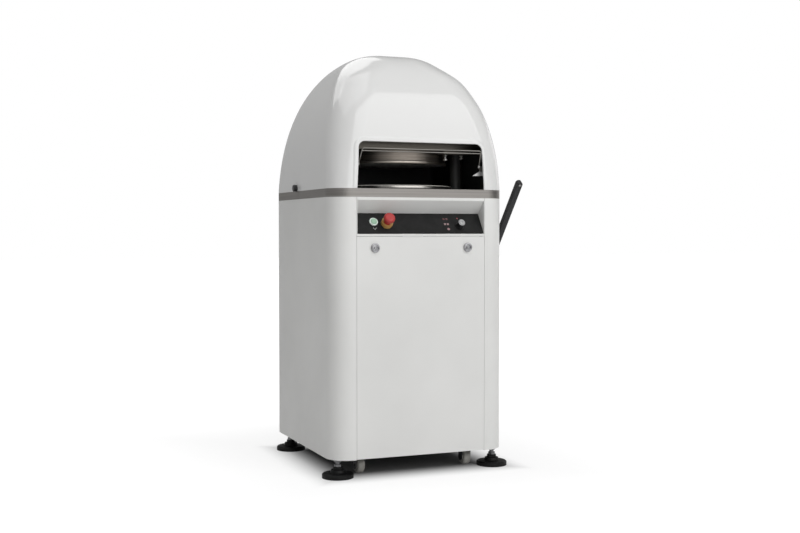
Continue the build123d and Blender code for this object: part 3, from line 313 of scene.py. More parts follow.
def vary_colour(material, factor, dark, light, low=0.35, high=0.65):
    ramp = node(material, "ShaderNodeValToRGB")
    for stop, position, colour in zip(ramp.color_ramp.elements, (low, high), (dark, light)):
        stop.position = position
        stop.color = (*colour, 1)
    link(material, factor, ramp.inputs["Fac"])
    link(material, ramp.outputs["Color"], shader_of(material).inputs["Base Color"])
    return ramp


def vary_roughness(material, factor, low, high):
    level = span(material, factor, start=0.3, end=0.7, low=low, high=high)
    link(material, level, shader_of(material).inputs["Roughness"])
    return level


def bump(material, height, strength, distance):
    raised = node(material, "ShaderNodeBump", Strength=strength, Distance=distance)
    link(material, height, raised.inputs["Height"])
    link(material, raised.outputs["Normal"], shader_of(material).inputs["Normal"])


def powder_coat(name, dark, light, rough, peel):
    """Powder paint: slight cloudiness and a fine orange-peel skin."""
    made = finish(name, light, rough)
    vary_colour(made, grain(made, scale=2.5, detail=3), dark, light)
    vary_roughness(made, grain(made, scale=14, detail=3), rough - 0.05, rough + 0.05)
    bump(made, grain(made, scale=700, detail=1), strength=peel, distance=0.0004)
    return made


def brushed_metal(name, dark, light, rough, lines, scale=60):
    """Metal with drawn lines, longer along the axes whose number is small."""
    made = finish(name, light, rough, metallic=1.0)
    drawn = grain(made, scale, lines, detail=6)
    vary_colour(made, drawn, dark, light, low=0.3, high=0.7)
    vary_roughness(made, drawn, rough - 0.08, rough + 0.1)
    bump(made, drawn, strength=0.06, distance=0.0005)
    return made


def moulded(name, dark, light, rough, skin=0.05, scale=500):
    """Moulded plastic or rubber with a fine matt skin."""
    made = finish(name, light, rough)
    vary_colour(made, grain(made, scale=30, detail=4), dark, light)
    vary_roughness(made, grain(made, scale=90, detail=3), rough - 0.06, rough + 0.06)
    bump(made, grain(made, scale, detail=2), strength=skin, distance=0.0004)
    return made


def window_distance(material, spot):
    """Distance outwards from the edge of the hood's feed window, on the front face."""
    calc = partial(math_node, material)
    up = calc("SUBTRACT", spot["Z"], WINDOW_LOW)
    half = calc("SUBTRACT", WINDOW_HALF - WINDOW_ROUND, calc("MULTIPLY", up, WINDOW_TAPER))
    beside = calc("SUBTRACT", calc("ABSOLUTE", spot["X"]), half)
    above = calc("SUBTRACT", up, WINDOW_RISE - WINDOW_ROUND)
    beside_out = calc("MAXIMUM", beside, 0.0)
    above_out = calc("MAXIMUM", above, 0.0)
    beside_square = calc("MULTIPLY", beside_out, beside_out)
    above_square = calc("MULTIPLY", above_out, above_out)
    outside = calc("SQRT", calc("ADD", beside_square, above_square))
    inside = calc("MINIMUM", calc("MAXIMUM", beside, above), 0.0)
    return calc("SUBTRACT", calc("ADD", outside, inside), WINDOW_ROUND)


def hood_gelcoat():
    """Glossy white shell with a white rim round its feed window, and painted shade on its inner
    faces: a dark tone there.
    """
    made = finish("hood_gelcoat", HOOD_TONE, roughness=0.2)
    calc = partial(math_node, made)
    place = places(made)
    spot = split(made, place["Object"])
    from_middle = vector_node(made, "SUBTRACT", place["Object"], HOOD_MIDDLE)["Vector"]
    facing = vector_node(made, "DOT_PRODUCT", from_middle, place["Normal"])["Value"]
    inner = calc("LESS_THAN", facing, 0.0)
    in_front = calc("LESS_THAN", spot["Y"], HOOD_FRONT)
    at_window = calc("LESS_THAN", window_distance(made, spot), HOOD_RIM)
    not_back = calc("LESS_THAN", split(made, place["Normal"])["Y"], BACK_FACING)
    rim = calc("MULTIPLY", calc("MULTIPLY", in_front, at_window), not_back)
    # Painted shade: inner faces, all but the white rim, take the dark inside tone
    dark = calc("MULTIPLY", inner, calc("SUBTRACT", 1.0, rim))
    ramp = vary_colour(made, dark, HOOD_TONE, HOOD_INSIDE_SHADE_TONE, low=0.4, high=0.6)
    ramp.color_ramp.interpolation = "CONSTANT"
    skin = vary_roughness(made, grain(made, scale=11, detail=3), 0.09, 0.14)
    matt = calc("MAXIMUM", skin, calc("MULTIPLY", dark, INSIDE_ROUGH))
    link(made, matt, shader_of(made).inputs["Roughness"])
    bump(made, grain(made, scale=7, detail=2), strength=0.06, distance=0.0016)
    tune(made, Coat_Weight=0.15, Coat_Roughness=0.05)
    return made


def ring_steel():
    """Turned steel of the press ring, with painted shade on its inner wall: a dark tone there."""
    dark, light, painted_inner_shade = tone(98, 92, 86), tone(150, 142, 133), tone(34, 32, 30)
    made = brushed_metal("ring_turned_steel", dark, light, rough=0.38, lines=TURNED_LINES)
    place = places(made)
    from_axis = vector_node(made, "MULTIPLY", place["Object"], (1, 1, 0))["Vector"]
    facing = vector_node(made, "DOT_PRODUCT", from_axis, place["Normal"])["Value"]
    inner = math_node(made, "LESS_THAN", facing, RING_INWARDS)
    base = shader_of(made).inputs["Base Color"]
    # Painted shade: the inner wall takes a dark tone instead of the steel's own
    link(made, mix_colour(made, inner, base.links[0].from_socket, painted_inner_shade), base)
    return made


def lens_plastic():
    """Small lamps: a rose row, a pale row, a round rose lens and one red pilot lamp."""
    round_lens, pale_row, rose_row = tone(150, 118, 120), tone(158, 132, 132), tone(104, 70, 72)
    made = finish("lens_plastic", tone(150, 96, 96), roughness=0.25)
    spot = split(made, places(made)["Object"])
    rows = span(made, spot["Z"], LENSES_LOW, LENSES_HIGH)
    ramp = vary_colour(made, rows, round_lens, rose_row, low=0.0, high=ROSE_ROW_FROM)
    ramp.color_ramp.interpolation = "CONSTANT"
    ramp.color_ramp.elements.new(PALE_ROW_FROM).color = (*pale_row, 1)
    pilot = math_node(made, "GREATER_THAN", spot["X"], PILOT_X)
    lamps = mix_colour(made, pilot, ramp.outputs["Color"], tone(150, 74, 76))
    link(made, lamps, shader_of(made).inputs["Base Color"])
    vary_roughness(made, grain(made, scale=90, detail=3), 0.2, 0.34)
    bump(made, grain(made, scale=600, detail=1), strength=0.05, distance=0.0003)
    return made


# Which way the drawn lines of a metal run
TURNED_LINES = (0.03, 0.03, 8.0)
BAND_LINES = (0.04, 0.04, 6.0)
APRON_LINES = (0.03, 0.5, 8.0)
SHEET_LINES = (0.05, 2.0, 2.0)
UPRIGHT_LINES = (1, 1, 0.1)
WIRE_LINES = (0.05, 1, 1)
KNOB_LINES = (1, 0.08, 1)
NO_LINES = (1, 1, 1)

HOOD_TONE = tone(222, 222, 221)
# Painted shade of the hood's inside
HOOD_INSIDE_SHADE_TONE = tone(54, 54, 55)
HOOD_WHITE = hood_gelcoat()

CABINET_WHITE = powder_coat(
    "cabinet_powder_coat", tone(218, 218, 216), tone(225, 225, 223), rough=0.46, peel=0.10
)
CAST_GREY = powder_coat(
    "cast_grey", tone(74, 76, 78), tone(96, 98, 100), rough=0.5, peel=0.35
)
LEVER_BLACK = powder_coat(
    "lever_black", tone(48, 48, 49), tone(58, 58, 59), rough=0.55, peel=0.25
)
MOTOR_BLUE_GREY = powder_coat(
    "motor_blue_grey", tone(70, 82, 92), tone(88, 100, 110), rough=0.45, peel=0.2
)
CYLINDER_BLACK = powder_coat(
    "cylinder_black", tone(30, 30, 32), tone(46, 46, 48), rough=0.4, peel=0.2
)
COLUMN_GREY = powder_coat(
    "column_grey", tone(70, 70, 70), tone(88, 88, 87), rough=0.42, peel=0.12
)

RING_STEEL = ring_steel()
BAND_STEEL = brushed_metal(
    "band_stainless", tone(122, 119, 116), tone(148, 145, 141), rough=0.46, lines=BAND_LINES
)
HEAD_STEEL = brushed_metal(
    "head_turned_steel", tone(100, 97, 91), tone(134, 129, 122), rough=0.46, lines=TURNED_LINES
)
APRON_STEEL = brushed_metal(
    "apron_brushed_steel", tone(82, 79, 74), tone(116, 112, 105), rough=0.46, lines=APRON_LINES
)
LIP_STEEL = brushed_metal(
    "lip_polished_steel", tone(150, 143, 135), tone(186, 178, 168), rough=0.34, lines=TURNED_LINES
)
HOOP_STEEL = brushed_metal(
    "hoop_polished_steel", tone(158, 155, 150), tone(188, 185, 180), rough=0.27, lines=TURNED_LINES
)
# Painted shade: the casters' forks take a dark tone for the shade they sit in
FORK_SHADED_STEEL = brushed_metal(
    "fork_steel_painted_shade", tone(44, 44, 45), tone(72, 72, 73), rough=0.46, lines=UPRIGHT_LINES
)
PLAIN_STEEL = brushed_metal(
    "plain_steel", tone(96, 97, 99), tone(136, 136, 137), rough=0.4, lines=UPRIGHT_LINES
)
SHEET_STEEL = brushed_metal(
    "sheet_stainless", tone(140, 140, 140), tone(180, 180, 179), rough=0.36, lines=SHEET_LINES
)
BRIGHT_CHROME = brushed_metal(
    "bright_chrome", tone(176, 177, 179), tone(206, 207, 209), rough=0.16, lines=NO_LINES, scale=30
)
LOCK_CHROME = brushed_metal(
    "lock_chrome", tone(146, 146, 148), tone(182, 182, 184), rough=0.2, lines=NO_LINES
)
WIRE_STEEL = brushed_metal(
    "wire_steel", tone(110, 108, 104), tone(150, 147, 142), rough=0.34, lines=WIRE_LINES, scale=80
)
BRONZE = brushed_metal(
    "bush_bronze", tone(140, 104, 58), tone(186, 148, 92), rough=0.35, lines=NO_LINES, scale=40
)
KNOB_SILVER = brushed_metal(
    "knob_silver", tone(148, 149, 150), tone(182, 182, 182), rough=0.34, lines=KNOB_LINES, scale=120
)
FASTENER_ZINC = brushed_metal(
    "fastener_zinc", tone(140, 140, 138), tone(184, 184, 181), rough=0.32, lines=NO_LINES, scale=90
)

PANEL_BLACK = moulded(
    "panel_black", tone(23, 23, 23), tone(29, 29, 29), rough=0.55, skin=0.04, scale=900
)
PLASTIC_BLACK = moulded("plastic_black", tone(16, 16, 17), tone(26, 26, 27), rough=0.4)
FOOT_BLACK = moulded("foot_black", tone(6, 6, 6), tone(12, 12, 12), rough=0.55, skin=0.10)
BELT_BLACK = moulded("belt_black", tone(24, 24, 24), tone(38, 38, 38), rough=0.65, skin=0.15)
WHEEL_GREY = moulded("wheel_grey", tone(146, 144, 139), tone(170, 168, 162), rough=0.5, skin=0.10)
STOP_RED = moulded("stop_red", tone(168, 47, 46), tone(184, 56, 55), rough=0.4, skin=0.03)
COLLAR_YELLOW = moulded(
    "collar_yellow", tone(166, 128, 70), tone(188, 148, 86), rough=0.4, skin=0.03
)
START_GREEN = moulded(
    "start_green", tone(150, 188, 162), tone(172, 203, 180), rough=0.35, skin=0.03
)
BEZEL_PALE = moulded("bezel_pale", tone(226, 238, 230), tone(236, 245, 239), rough=0.3, skin=0.03)
PLATE_PALE = moulded("moulding_plate_pale", tone(206, 204, 196), tone(224, 222, 214), rough=0.2)
PRINT_WHITE = moulded("print_white", tone(150, 152, 150), tone(176, 178, 175), rough=0.5, skin=0.02)
LENS_ROSE = lens_plastic()

tune(PANEL_BLACK, Specular_IOR_Level=0.2)
tune(LEVER_BLACK, Specular_IOR_Level=0.15)
tune(FOOT_BLACK, Specular_IOR_Level=0.25)

NODE_FINISH = {
    "base_plate": PLAIN_STEEL,
    "corner_posts": PLAIN_STEEL,
    "left_side_panel": CABINET_WHITE,
    "right_side_panel": CABINET_WHITE,
    "rear_panel": CABINET_WHITE,
    "cable_gland": PLASTIC_BLACK,
    "front_band": BAND_STEEL,
    "rear_band": BAND_STEEL,
    "deck_plate": SHEET_STEEL,
    "guide_bushes": BRONZE,
    "control_fascia": CABINET_WHITE,
    "control_plate": PANEL_BLACK,
    "indicator_lenses": LENS_ROSE,
    "start_bezel": BEZEL_PALE,
    "start_button": START_GREEN,
    "stop_collar": COLLAR_YELLOW,
    "stop_button": STOP_RED,
    "timer_knob": PLASTIC_BLACK,
    "front_door": CABINET_WHITE,
    "door_lock_left": LOCK_CHROME,
    "door_lock_right": LOCK_CHROME,
    "hood_shell": HOOD_WHITE,
    "hood_hinges": SHEET_STEEL,
    "hinge_leaves": SHEET_STEEL,
    "hood_knob_left": PLASTIC_BLACK,
    "hood_knob_right": PLASTIC_BLACK,
    "guard_brackets": SHEET_STEEL,
    "wire_guard": WIRE_STEEL,
    "foot_pads": FOOT_BLACK,
    "foot_stems": PLAIN_STEEL,
    "foot_nuts": PLAIN_STEEL,
    "caster_forks": FORK_SHADED_STEEL,
    "caster_wheel_front_left": WHEEL_GREY,
    "caster_wheel_front_right": WHEEL_GREY,
    "caster_wheel_rear_left": WHEEL_GREY,
    "caster_wheel_rear_right": WHEEL_GREY,
    "head_casting": HEAD_STEEL,
    "press_ring": RING_STEEL,
    "knife_set": SHEET_STEEL,
    "press_platen": SHEET_STEEL,
    "ram_cylinder": PLAIN_STEEL,
    "press_columns": COLUMN_GREY,
    "lower_yoke": CAST_GREY,
    "press_rod": BRIGHT_CHROME,
    "press_cylinder": CYLINDER_BLACK,
    "oil_tank": MOTOR_BLUE_GREY,
    "pump_motor": MOTOR_BLUE_GREY,
    "drive_casting": CAST_GREY,
    "shaft_bearings": BRIGHT_CHROME,
    "eccentric_shaft": PLAIN_STEEL,
    "support_crank_left": PLAIN_STEEL,
    "support_crank_right": PLAIN_STEEL,
    "rounding_table": SHEET_STEEL,
    "moulding_plate": PLATE_PALE,
    "driven_pulley": CAST_GREY,
    "motor_pulley": CAST_GREY,
    "drive_motor": MOTOR_BLUE_GREY,
    "drive_belt": BELT_BLACK,
    "lever_bush": PLAIN_STEEL,
    "side_lever": LEVER_BLACK,
}


def dress_nodes(nodes):
    """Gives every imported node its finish."""
    for name, made in NODE_FINISH.items():
        slots = nodes[name].data.materials
        slots.clear()
        slots.append(made)


# Making of the small fittings

def begin(name, add, **size):
    """New primitive, alone selected and active."""
    bpy.ops.object.select_all(action="DESELECT")
    add(**size)
    made = bpy.context.object
    made.name = name
    return made


def fix(made):
    """Leaves the selected piece's place, turn and size in its mesh."""
    bpy.ops.object.transform_apply(location=True, rotation=True, scale=True)
    return made


@contextmanager
def edit_mode():
    """Edit mode of the active piece."""
    bpy.ops.object.mode_set(mode="EDIT")
    yield
    bpy.ops.object.mode_set(mode="OBJECT")


@contextmanager
def edges_picked(made, wanted):
    """Edit mode with only the edges selected whose middle is wanted."""
    with edit_mode():
        bpy.ops.mesh.select_mode(type="EDGE")
        bpy.ops.mesh.select_all(action="DESELECT")
    points = made.data.vertices
    for edge in made.data.edges:
        first, second = edge.vertices
        edge.select = wanted((points[first].co + points[second].co) / 2)
    with edit_mode():
        yield


def extrude(move):
    bpy.ops.mesh.extrude_region_move(TRANSFORM_OT_translate={"value": move})


def face_outwards():
    bpy.ops.mesh.select_all(action="SELECT")
    bpy.ops.mesh.normals_make_consistent(inside=False)


def circle(name, sides, step, fill_type):
    radius, height = step
    return fix(
        begin(
            name,
            bpy.ops.mesh.primitive_circle_add,
            vertices=sides,
            radius=radius,
            fill_type=fill_type,
            location=(0, 0, height),
        )
    )


def climb(steps):
    """Extrudes the whole mesh, a disc or a loop, through (radius, height) steps."""
    bpy.ops.mesh.select_all(action="SELECT")
    radius, height = steps[0]
    for next_radius, next_height in steps[1:]:
        extrude((0, 0, next_height - height))
        share = next_radius / radius
        centre = (0, 0, next_height)
        bpy.ops.transform.resize(value=(share, share, 1), center_override=centre)
        radius, height = next_radius, next_height


def turned(name, sides, steps):
    """Round or many-sided fitting that rises from its first disc through its steps."""
    made = circle(name, sides, steps[0], "NGON")
    with edit_mode():
        climb(steps)
        face_outwards()
    return made


def rolled(name, sides, steps):
    """Hollow round rim that runs through its steps and closes on its first loop."""
    made = circle(name, sides, steps[0], "NOTHING")
    with edit_mode():
        bpy.ops.mesh.select_mode(type="EDGE")
        climb(steps)
        bpy.ops.mesh.select_all(action="DESELECT")
        bpy.ops.mesh.select_non_manifold()
        bpy.ops.mesh.bridge_edge_loops()
        face_outwards()
    return made


def slab(name, middle, size, turn=0.0):
    """Block of a size round its middle, turned about its upright axis."""
    made = begin(name, bpy.ops.mesh.primitive_cube_add, size=1, location=middle)
    made.scale = size
    made.rotation_euler = (0, 0, turn)
    return fix(made)


def block(name, low, high):
    """Block between two corners."""
    low, high = Vector(low), Vector(high)
    return slab(name, (low + high) / 2, high - low)


def upright_sheet(name, add, middle, width, height, **parts):
    """Flat sheet that faces the front."""
    made = begin(name, add, size=1, location=middle, rotation=FACING_FRONT, **parts)
    made.scale = (width, height, 1)
    return fix(made)


def pick(made):
    """Makes a piece the only selected one."""
    bpy.ops.object.select_all(action="DESELECT")
    made.select_set(True)
    bpy.context.view_layer.objects.active = made


def modify(made, name, kind, **settings):
    """Finishes the active piece with one modifier, which is applied."""
    modifier = made.modifiers.new(name, kind)
    for key, value in settings.items():
        setattr(modifier, key, value)
    bpy.ops.object.modifier_apply(modifier=modifier.name)


def thicken(made, thickness):
    """Gives a sheet its thickness, behind its faces."""
    modify(made, "sheet", "SOLIDIFY", thickness=thickness, use_even_offset=True)


def smooth(degrees=35):
    """Smooth faces on the selected piece, which stay sharp where they meet at a larger angle."""
    bpy.ops.object.shade_smooth_by_angle(angle=math.radians(degrees))


def soften(made, width, segments=2):
    """Bevelled edges and smooth faces."""
    modify(
        made,
        "soft_edges",
        "BEVEL",
        width=width,
        segments=segments,
        limit_method="ANGLE",
        angle_limit=math.radians(30),
    )
    smooth()


def round_edges(made, wanted, radius):
    with edges_picked(made, wanted):
        bpy.ops.mesh.bevel(offset=radius, segments=8, affect="EDGES")


def carve(made, cutter):
    """Takes the cutter's shape out of a piece."""
    pick(made)
    modify(made, "cut", "BOOLEAN", object=cutter, operation="DIFFERENCE")
    bpy.data.objects.remove(cutter)


def turn_to(along, out):
    """Turn that points a fitting's X axis along, and its Z axis out."""
    return Matrix((along, out.cross(along), out)).transposed()


def seat(made, place, turn):
    """Turns a fitting, sets it on its place and leaves that in its mesh."""
    made.matrix_world = Matrix.Translation(Vector(place)) @ turn.to_4x4()
    pick(made)
    fix(made)


def stand(made, place, out=UP):
    """Sets a fitting that was modelled along +Z on its place, pointing out."""
    seat(made, place, UP.rotation_difference(Vector(out).normalized()).to_matrix())


def copies_of(first, count):
    """A modelled piece and its copies, each with its own mesh."""
    copies = [first]
    for _ in range(count - 1):
        pick(first)
        bpy.ops.object.duplicate()
        copies.append(bpy.context.object)
    return copies


def joined(name, pieces):
    pick(pieces[0])
    for piece in pieces[1:]:
        piece.select_set(True)
    if len(pieces) > 1:
        bpy.ops.object.join()
    pieces[0].name = name
    return pieces[0]


def settle(made, material, body):
    """Gives a fitting its finish, and names the body that carries it."""
    made.data.materials.clear()
    made.data.materials.append(material)
    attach(made, body)


def on_plate(across, up, out):
    """Place on the control plate."""
    return PLATE_MIDDLE + RIGHT * across + PLATE_UP * up + PLATE_OUT * out


# Small fittings

def timer_cap():
    """Silver disc pressed into the top of the timer knob, with a raised pointer bar."""
    steps = [
        (0.0128, 0),
        (0.0128, 0.0012),
        (0.0112, 0.0016),
        (0.0104, 0.0010),
        (0.0040, 0.0010),
        (0.0030, 0.0013),
    ]
    disc = turned("timer_cap", sides=48, steps=steps)
    soften(disc, width=0.0002)
    bar = slab("timer_bar", middle=(0, 0.0058, 0.0014), size=(0.0016, 0.0086, 0.0010))
    soften(bar, width=0.0003)
    cap = joined("timer_cap", [disc, bar])
    stand(cap, on_plate(across=0.154, up=-0.0095, out=0.0213), PLATE_OUT)
    settle(cap, KNOB_SILVER, "timer")


def start_mark():
    """Printed arrow under the start button: two short bars that meet in a V."""
    spread, slope = 0.0032, math.radians(50)
    bars = []
    for side in SIDES:
        middle = (side * spread, 0, 0.0001)
        bar = slab("start_mark", middle, size=(0.0100, 0.0020, 0.0003), turn=side * slope)
        soften(bar, width=0.0001)
        bars.append(bar)
    mark = joined("start_mark", bars)
    stand(mark, on_plate(across=-0.172, up=-0.0215, out=0.0001), PLATE_OUT)
    settle(mark, PRINT_WHITE, "cabinet")


def head_apron():
    """Sheet-steel apron across the press head, folded back to the column lugs, and its tab."""
    plane = bpy.ops.mesh.primitive_plane_add
    middle = (0, APRON_FRONT, APRON_LOW + APRON_HEIGHT / 2)
    apron = upright_sheet("head_apron", plane, middle, 2 * APRON_HALF, APRON_HEIGHT)
    with edges_picked(apron, lambda spot: abs(spot.x) > APRON_HALF - NEAR):
        extrude((0, APRON_RETURN, 0))
    thicken(apron, SHEET)
    soften(apron, width=0.0012, segments=3)
    middle = (TAB_X, APRON_FRONT, APRON_LOW - TAB_DROP / 2)
    tab = upright_sheet("apron_tab", plane, middle, TAB_WIDTH, TAB_DROP)
    with edges_picked(tab, lambda spot: spot.z < APRON_LOW - TAB_DROP + NEAR):
        extrude((0, TAB_DEPTH, 0))
    thicken(tab, SHEET)
    soften(tab, width=0.0008)
    settle(joined("head_apron", [apron, tab]), APRON_STEEL, "press_head")


def ring_lip():
    """Rolled lip round the foot of the press ring."""
    steps = [
        (0.2140, 1.0953),
        (0.2168, 1.0953),
        (0.2184, 1.0966),
        (0.2188, 1.0990),
        (0.2186, 1.1030),
        (0.2176, 1.1058),
        (0.2140, 1.1072),
    ]
    lip = rolled("ring_lip", sides=128, steps=steps)
    smooth(50)
    settle(lip, LIP_STEEL, "press_head")


def hanging_screw(name, across, drop):
    """Hanging screw under the apron's tab: lock nut, shank and a hexagon head at its foot."""
    nut_steps = [(0.0070, 0), (0.0078, 0.0008), (0.0078, 0.0050), (0.0070, 0.0058)]
    shank_steps = [(0.0040, 0.0056), (0.0040, drop), (0.0038, drop + 0.0004)]
    head_steps = [(0.0072, 0), (0.0080, 0.0007), (0.0080, 0.0066), (0.0070, 0.0074)]
    nut = turned("screw_nut", sides=6, steps=nut_steps)
    soften(nut, width=0.0003)
    shank = turned("screw_shank", sides=20, steps=shank_steps)
    head = turned("screw_head", sides=6, steps=head_steps)
    soften(head, width=0.0003)
    stand(head, (0, 0, drop))
    screw = joined(name, [nut, shank, head])
    stand(screw, (across, HANGING_Y, APRON_LOW - TAB_DROP), DOWN)
    settle(screw, FASTENER_ZINC, "press_head")


def guard_sleeves():
    """Crimped sleeve round the foot of each leg of the wire guard."""
    steps = [
        (0.0030, 0.0052),
        (0.0046, 0.0058),
        (0.0050, 0.0072),
        (0.0050, 0.0130),
        (0.0044, 0.0144),
        (0.0028, 0.0150),
    ]
    sleeves = []
    for side in SIDES:
        sleeve = turned("guard_sleeve", sides=20, steps=steps)
        soften(sleeve, width=0.0003)
        leg = (-side * LEG_INWARDS, -math.sin(LEG_LEAN), math.cos(LEG_LEAN))
        stand(sleeve, (side * LEG_X, LEG_Y, LEG_Z), leg)
        sleeves.append(sleeve)
    settle(joined("guard_sleeves", sleeves), FASTENER_ZINC, "guard")


def window_gap(x, z):
    """Distance outwards from the edge of the feed window, on the hood's front."""
    up = z - WINDOW_LOW
    beside = abs(x) - (WINDOW_HALF - WINDOW_ROUND - up * WINDOW_TAPER)
    above = up - (WINDOW_RISE - WINDOW_ROUND)
    inside = min(max(beside, above), 0)
    return math.hypot(max(beside, 0), max(above, 0)) + inside - WINDOW_ROUND


def land_ribbon():
    """Flat ribbon up, over and down round the feed window, ahead of the hood."""
    straight = WINDOW_RISE - WINDOW_ROUND
    leg = straight - LAND_FOOT
    middle_x = -WINDOW_HALF - LAND_INNER - LAND_WIDTH / 2
    land = upright_sheet(
        "window_land",
        bpy.ops.mesh.primitive_grid_add,
        (middle_x, LAND_AHEAD, WINDOW_LOW + LAND_FOOT + leg / 2),
        LAND_WIDTH,
        leg,
        x_subdivisions=9,
        y_subdivisions=20,
    )
    top = WINDOW_LOW + straight
    corner = (WINDOW_ROUND - WINDOW_HALF, LAND_AHEAD, top)
    top_steps = 16
    with edges_picked(land, lambda spot: spot.z > top - NEAR):
        bpy.ops.mesh.spin(steps=10, angle=-math.pi / 2, center=corner, axis=REAR)
        for _ in range(top_steps):
            extrude(((WINDOW_HALF - WINDOW_ROUND) / top_steps, 0, 0))
    modify(land, "right_half", "MIRROR", merge_threshold=0.0002)
    with edit_mode():
        bpy.ops.mesh.select_all(action="SELECT")
        bpy.ops.mesh.remove_doubles(threshold=0.0001)
        face_outwards()
    if sum(face.normal.y for face in land.data.polygons) > 0:
        land.data.flip_normals()
    for point in land.data.vertices:
        if abs(point.co.x) > LAND_MIDDLE:
            inwards = (point.co.z - WINDOW_LOW) * WINDOW_TAPER
            point.co.x -= math.copysign(inwards, point.co.x)
    return land


def window_land(hood):
    """Raised land round the feed window: a ribbon laid on the hood's front, highest inside."""
    land = land_ribbon()
    raised = land.vertex_groups.new(name="raised")
    for point in land.data.vertices:
        gap = window_gap(point.co.x, point.co.z)
        share = min(max((LAND_INNER + LAND_WIDTH - gap) / (LAND_WIDTH - LAND_TOP), 0), 1)
        raised.add([point.index], share * share * (3 - 2 * share), "REPLACE")
    modify(
        land,
        "on_hood",
        "SHRINKWRAP",
        target=hood,
        wrap_method="PROJECT",
        use_project_y=True,
        use_positive_direction=True,
        use_negative_direction=False,
    )
    shift = partial(modify, land, kind="DISPLACE", direction="Y", mid_level=0)
    shift(name="root", strength=LAND_ROOT / 4)
    shift(name="rise", strength=-LAND_RISE, vertex_group="raised")
    thicken(land, LAND_RISE + LAND_ROOT)
    smooth(40)
    settle(land, HOOD_WHITE, "hood")


def cap_screw():
    """Low round screw with a socket in its head, modelled along +Z."""
    steps = [(0.0048, 0), (0.0048, 0.0012), (0.0034, 0.0024), (0.0022, 0.0026)]
    top, facing_up, socket_wall, socket_depth = 0.0025, 0.9, 0.0004, 0.0014
    head = turned("cap_screw", sides=20, steps=steps)
    with edit_mode():
        bpy.ops.mesh.select_all(action="DESELECT")
    for face in head.data.polygons:
        face.select = face.normal.z > facing_up and face.center.z > top
    with edit_mode():
        bpy.ops.mesh.inset(thickness=socket_wall)
        extrude((0, 0, -socket_depth))
    smooth()
    return head


def screw_row(name, row, out, body):
    """One modelled screw, copied to every place of a row on a body."""
    copies = copies_of(cap_screw(), len(row))
    for copy, place in zip(copies, row):
        stand(copy, place, out)
    settle(joined(name, copies), FASTENER_ZINC, body)


def screws():
    """Rows of screws on the rear panel, the hinge leaves and the casters' plates."""
    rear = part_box("rear_panel")[1][1]
    panel = [(side * REAR_SCREW_X, rear, z) for side in SIDES for z in REAR_SCREW_Z]
    low_leaves = [(x, rear + LEAF_THICK, LOW_LEAF_Z) for x in LEAF_SCREW_X]
    hood_leaves = [(x, rear + LEAF_THICK, HOOD_LEAF_Z) for x in LEAF_SCREW_X]
    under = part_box("caster_forks")[1][2] - CASTER_PLATE
    plates = [
        (right * CASTER_X + a * CASTER_HOLE, back * CASTER_Y + b * CASTER_HOLE, under)
        for right in SIDES
        for back in SIDES
        for a in SIDES
        for b in SIDES
    ]
    screw_row("rear_panel_screws", panel, REAR, "cabinet")
    screw_row("hinge_screws_low", low_leaves, REAR, "cabinet")
    screw_row("hinge_screws_hood", hood_leaves, REAR, "hood")
    screw_row("caster_screws", plates, DOWN, "cabinet")


def lever_bar(half, eye):
    """Square bar with a rounded end and a hole through it, modelled along +X."""
    bar = block(
        "lever_bar", (0, -half, LEVER_BACK), (LEVER_REACH, half, LEVER_BACK + LEVER_THICK)
    )
    middle = LEVER_BACK + LEVER_THICK / 2
    end = LEVER_REACH - NEAR
    round_edges(bar, lambda spot: spot.x > end and abs(spot.z - middle) < NEAR, LEVER_ROUND)
    hole = turned("lever_hole", sides=24, steps=[(LEVER_HOLE, -LEVER_CUT), (LEVER_HOLE, LEVER_CUT)])
    stand(hole, (eye, 0, 0))
    carve(bar, hole)
    soften(bar, width=0.0022, segments=3)
    return bar


def lever_boss():
    """Round boss with a dished face, modelled along +Z."""
    length = LEVER_INNER + LEVER_WIDE - BOSS_INNER
    dish = length - 0.0010
    steps = [
        (0.0228, 0),
        (0.0240, 0.0012),
        (0.0240, length - 0.0018),
        (0.0222, length),
        (0.0140, length),
        (0.0132, dish),
        (0.0060, dish),
    ]
    boss = turned("lever_boss", sides=64, steps=steps)
    soften(boss, width=0.0004)
    return boss


def lever_shaft():
    """Shaft from the crank into the boss, modelled along +Z."""
    length = BOSS_INNER - SHAFT_INNER + SHAFT_OVERLAP
    shaft = turned("lever_shaft", sides=40, steps=[(0.0112, 0), (0.0120, 0.0008), (0.0120, length)])
    smooth()
    return shaft


def lever_crank():
    """Flat crank on the shaft's inner end, modelled along +X."""
    low = (-CRANK_HALF, -CRANK_HALF, 0)
    crank = block("lever_crank", low, (CRANK_REACH, CRANK_HALF, CRANK_THICK))
    round_edges(crank, lambda spot: abs(spot.z - CRANK_THICK / 2) < NEAR, CRANK_ROUND)
    soften(crank, width=0.0008)
    return crank


def hand_lever():
    """Side lever: drilled bar, boss and shaft, and the crank inside the cabinet."""
    along = Vector((0, -math.cos(LEVER_RAKE), math.sin(LEVER_RAKE)))
    face = Vector((0, -math.sin(LEVER_RAKE), -math.cos(LEVER_RAKE)))
    half = LEVER_WIDE / 2
    eye = LEVER_REACH - half
    foot = Vector((LEVER_INNER + half, LEVER_Y, LEVER_Z))
    inner_end = (SHAFT_INNER, LEVER_Y, LEVER_Z)
    bar = lever_bar(half, eye)
    seat(bar, foot, turn_to(along, face))
    boss = lever_boss()
    stand(boss, (BOSS_INNER, LEVER_Y, LEVER_Z), RIGHT)
    shaft = lever_shaft()
    stand(shaft, inner_end, RIGHT)
    crank = lever_crank()
    seat(crank, inner_end, turn_to(face, RIGHT))
    lever = joined("hand_lever", [bar, boss, shaft, crank])
    settle(lever, LEVER_BLACK, "lever")
    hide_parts("side_lever")
    screw_seat = foot + along * eye + face * (LEVER_BACK + LEVER_THICK)
    screw_row("lever_end_screw", [screw_seat], face, "lever")


